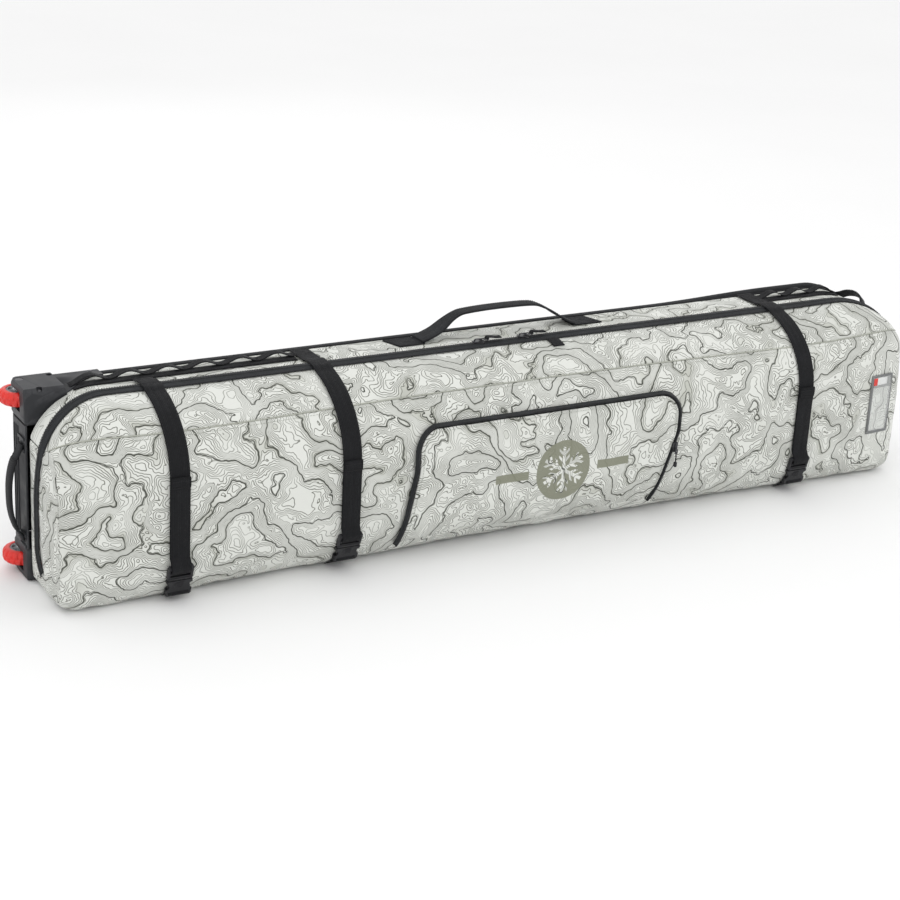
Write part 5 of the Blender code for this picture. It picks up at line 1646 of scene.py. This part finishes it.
def make_daisy_chains():
    """Webbing sewn along the back edge, with a second layer raised in loops between bar tacks."""
    for name, start, end, pitch in (("wheel_end", -0.846, -0.414, 0.072), ("tip_end", 0.6655, 0.862, 0.060)):
        count = round((end - start) / pitch)
        steps = count * 14
        flat, raised, tacks = [], [], []
        for i in range(steps + 1):
            x = start + (end - start) * i / steps
            hump = math.sin(math.pi * ((i / 14) % 1)) ** 2
            turn = turn_on_top(x, 0.038)
            normal = surface_normal(x, turn)
            across = (Y_AXIS - normal * normal.y).normalized()
            flat.append((skin(x, turn, 0.0010), across, normal))
            back = skin(x, turn_on_top(x, 0.050), 0.0030)
            raised.append((back + normal * 0.0105 * hump - across * 0.0015 * hump, across, normal))
            if i % 14 == 0:
                tacks.append((back, across, normal))
        band(f"daisy_chain_{name}_tape", flat, 0.0250, 0.0019, "webbing", "shell", f"daisy_chain_{name}")
        band(f"daisy_chain_{name}_loops", raised, 0.0200, 0.0019, "webbing", "shell")
        seams = []
        for p, a, n in tacks:
            for step in (-0.0018, 0.0, 0.0018):
                spot = p + n * 0.0021 + X_AXIS * step
                ends = [spot - a * 0.0085, spot + a * 0.0085]
                seams += stitches(ends, [n], pitch=0.0020, long=0.0016, rise=0.0006)
        seams += edge_stitches(flat, (-0.0100, -0.0055), 0.0021, thick=0.0008, rise=0.0004)
        sewn(f"daisy_chain_{name}_stitching", seams, "shell")


def make_identity_window():
    """A frame, clear film and plain tags on the lid."""
    path = ring_outline(WINDOW_X[0], WINDOW_Z[0], WINDOW_X[1], WINDOW_Z[1], (0.006,) * 4)
    path.append(path[0])
    rim = []
    for i, (x, z) in enumerate(path):
        x = min(max(x, WINDOW_X[0] + 0.0035), WINDOW_X[1] - 0.0035)
        z = min(max(z, WINDOW_Z[0] + 0.0035), WINDOW_Z[1] - 0.0035)
        turn = turn_at_height(x, z)
        after, before = path[(i + 1) % (len(path) - 1)], path[i - 1]
        ahead = Vector((after[0] - before[0], 0, after[1] - before[1]))
        normal = skin_normal(x, turn)
        ahead = (ahead - normal * ahead.dot(normal)).normalized()
        rim.append((skin(x, turn, 0.0014), normal.cross(ahead).normalized(), normal))
    band("identity_window_frame", rim, 0.0070, 0.0012, "sheet_plastic", "lid", "identity_frame", crown=0.0003)
    for label, finish, x0, x1, z0, z1, lift, thick, cells, nodes in (
        ("film", "window", 0.837, 0.889, 0.106, 0.228, 0.0022, 0.0004, (8, 16), ["identity_window"]),
        ("header", "sheet_plastic", 0.834, 0.892, 0.204, 0.231, 0.0014, 0.0011, (6, 4), []),
        ("plain_tag", "pale_tag", 0.838, 0.876, 0.210, 0.226, 0.0027, 0.0011, (6, 4), []),
        ("red_tag", "tag", 0.838, 0.848, 0.210, 0.226, 0.0034, 0.0011, (6, 4), []),
    ):
        rows = [
            [skin(x, turn_at_height(x, z), lift) for x in spread(x0, x1, cells[0])][::-1]
            for z in spread(z0, z1, cells[1])
        ]
        strip = piece(f"identity_window_{label}", grid_mesh("tag", rows), finish, "lid", *nodes)
        thicken(turned_to(strip, -Y_AXIS), thick, 1.0)


def make_hinge_fold():
    """The fabric fold under the bag that the lid turns on, joining it to the bottom wall."""
    depths = (-0.0700, -0.0735, -0.0765, -0.0790, -0.0820, -0.0855)
    rows = [[skin(x, turn_below(x, y), -0.0033) for y in depths] for x in stations(-0.905, 0.905)]
    fold = piece("hinge_fold_fabric", grid_mesh("fold", rows), "binding", None)
    thicken(fold, 0.0011, 0.0)
    apply_modifiers(fold)
    return fold


# ---- build ----
make_skin()
make_lid_seam()
make_end_faces()
make_base()
for end_name in HOUSING_Z:
    make_housing(end_name)
    make_wheel(end_name)
make_kick_plate()
make_flange()
make_main_zip()
make_sliders()
make_pocket()
make_straps()
make_carry_handle()
make_end_handles()
make_daisy_chains()
make_identity_window()
hinge_fold = make_hinge_fold()
settle_all()

for made, body, slot, stands_for in riders:
    if stands_for:
        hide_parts(*stands_for)
    if made is hinge_fold:
        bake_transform(made)
    elif "strap" in made.keys():
        point, _, _ = buckle_frame(made["strap"], STRAPS[made["strap"]][0])
        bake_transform(made)
    else:
        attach(made, body)

CARRIED = {
    "frame_sheet": "sheet_plastic", "bearing": "steel",
    "axle_bolt": "black_steel", "housing_screw": "black_steel",
}
for node_name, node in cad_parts.items():
    for key, finish in CARRIED.items():
        if key in node_name:
            for material_slot in node.material_slots:
                material_slot.material = finishes[finish]

# ---- camera, light and floor ----
azimuth, elevation, roll = 0.5306, 0.3682, 0.0567
flat = math.cos(elevation)
ahead = Vector((math.sin(azimuth) * flat, math.cos(azimuth) * flat, -math.sin(elevation)))
level = Vector((math.cos(azimuth), -math.sin(azimuth), 0))
upright = level.cross(ahead)
right = level * math.cos(roll) + upright * math.sin(roll)
up = upright * math.cos(roll) - level * math.sin(roll)
camera_data = bpy.data.cameras.new("camera")
camera_data.lens = 83.15
camera_data.sensor_width = 36
camera = bpy.data.objects.new("camera", camera_data)
scene.collection.objects.link(camera)
pose = Matrix((right, up, -ahead)).transposed().to_4x4()
pose.translation = (-2.0046, -3.2583, 1.6037)
camera.matrix_world = pose
scene.camera = camera


def add_area(name, place, target, size, power, colour=(1, 1, 1)):
    data = bpy.data.lights.new(name, "AREA")
    data.size = size
    data.energy = power
    data.color = colour
    lamp = bpy.data.objects.new(name, data)
    lamp.location = place
    lamp.rotation_mode = "QUATERNION"
    lamp.rotation_quaternion = (Vector(target) - Vector(place)).to_track_quat("-Z", "Y")
    scene.collection.objects.link(lamp)


add_area("key", (-2.2, -3.2, 3.2), (0, 0, 0.15), 2.2, 24)
add_area("fill", (2.8, -2.6, 1.6), (0.2, 0, 0.15), 2.4, 8)
add_area("top", (0.0, 0.4, 3.4), (0, 0, 0.2), 3.0, 8)
add_area("back", (0.5, 3.2, 2.0), (0, 0, 0.2), 2.4, 6)
world = bpy.data.worlds.new("studio")
world.use_nodes = True
world.node_tree.nodes["Background"].inputs["Color"].default_value = (1, 1, 1, 1)
world.node_tree.nodes["Background"].inputs["Strength"].default_value = 1.0
scene.world = world
scene.view_settings.view_transform = "Standard"

FLOOR_HALF = 30
FLOOR_Z = -0.001
floor_graph = Graph("pale_floor")
floor_tone = floor_graph.noise(floor_graph.place(), 1.5, 2.0)
floor_graph.finish(floor_graph.mix(floor_tone, (0.90, 0.90, 0.90), (0.93, 0.93, 0.93)), 0.95)
floor_mesh = bpy.data.meshes.new("floor")
corners = [(x * FLOOR_HALF, y * FLOOR_HALF, FLOOR_Z) for x, y in ((-1, -1), (1, -1), (1, 1), (-1, 1))]
floor_mesh.from_pydata(corners, [], [(0, 1, 2, 3)])
floor_mesh.materials.append(floor_graph.material)
floor = bpy.data.objects.new("floor", floor_mesh)
scene.collection.objects.link(floor)
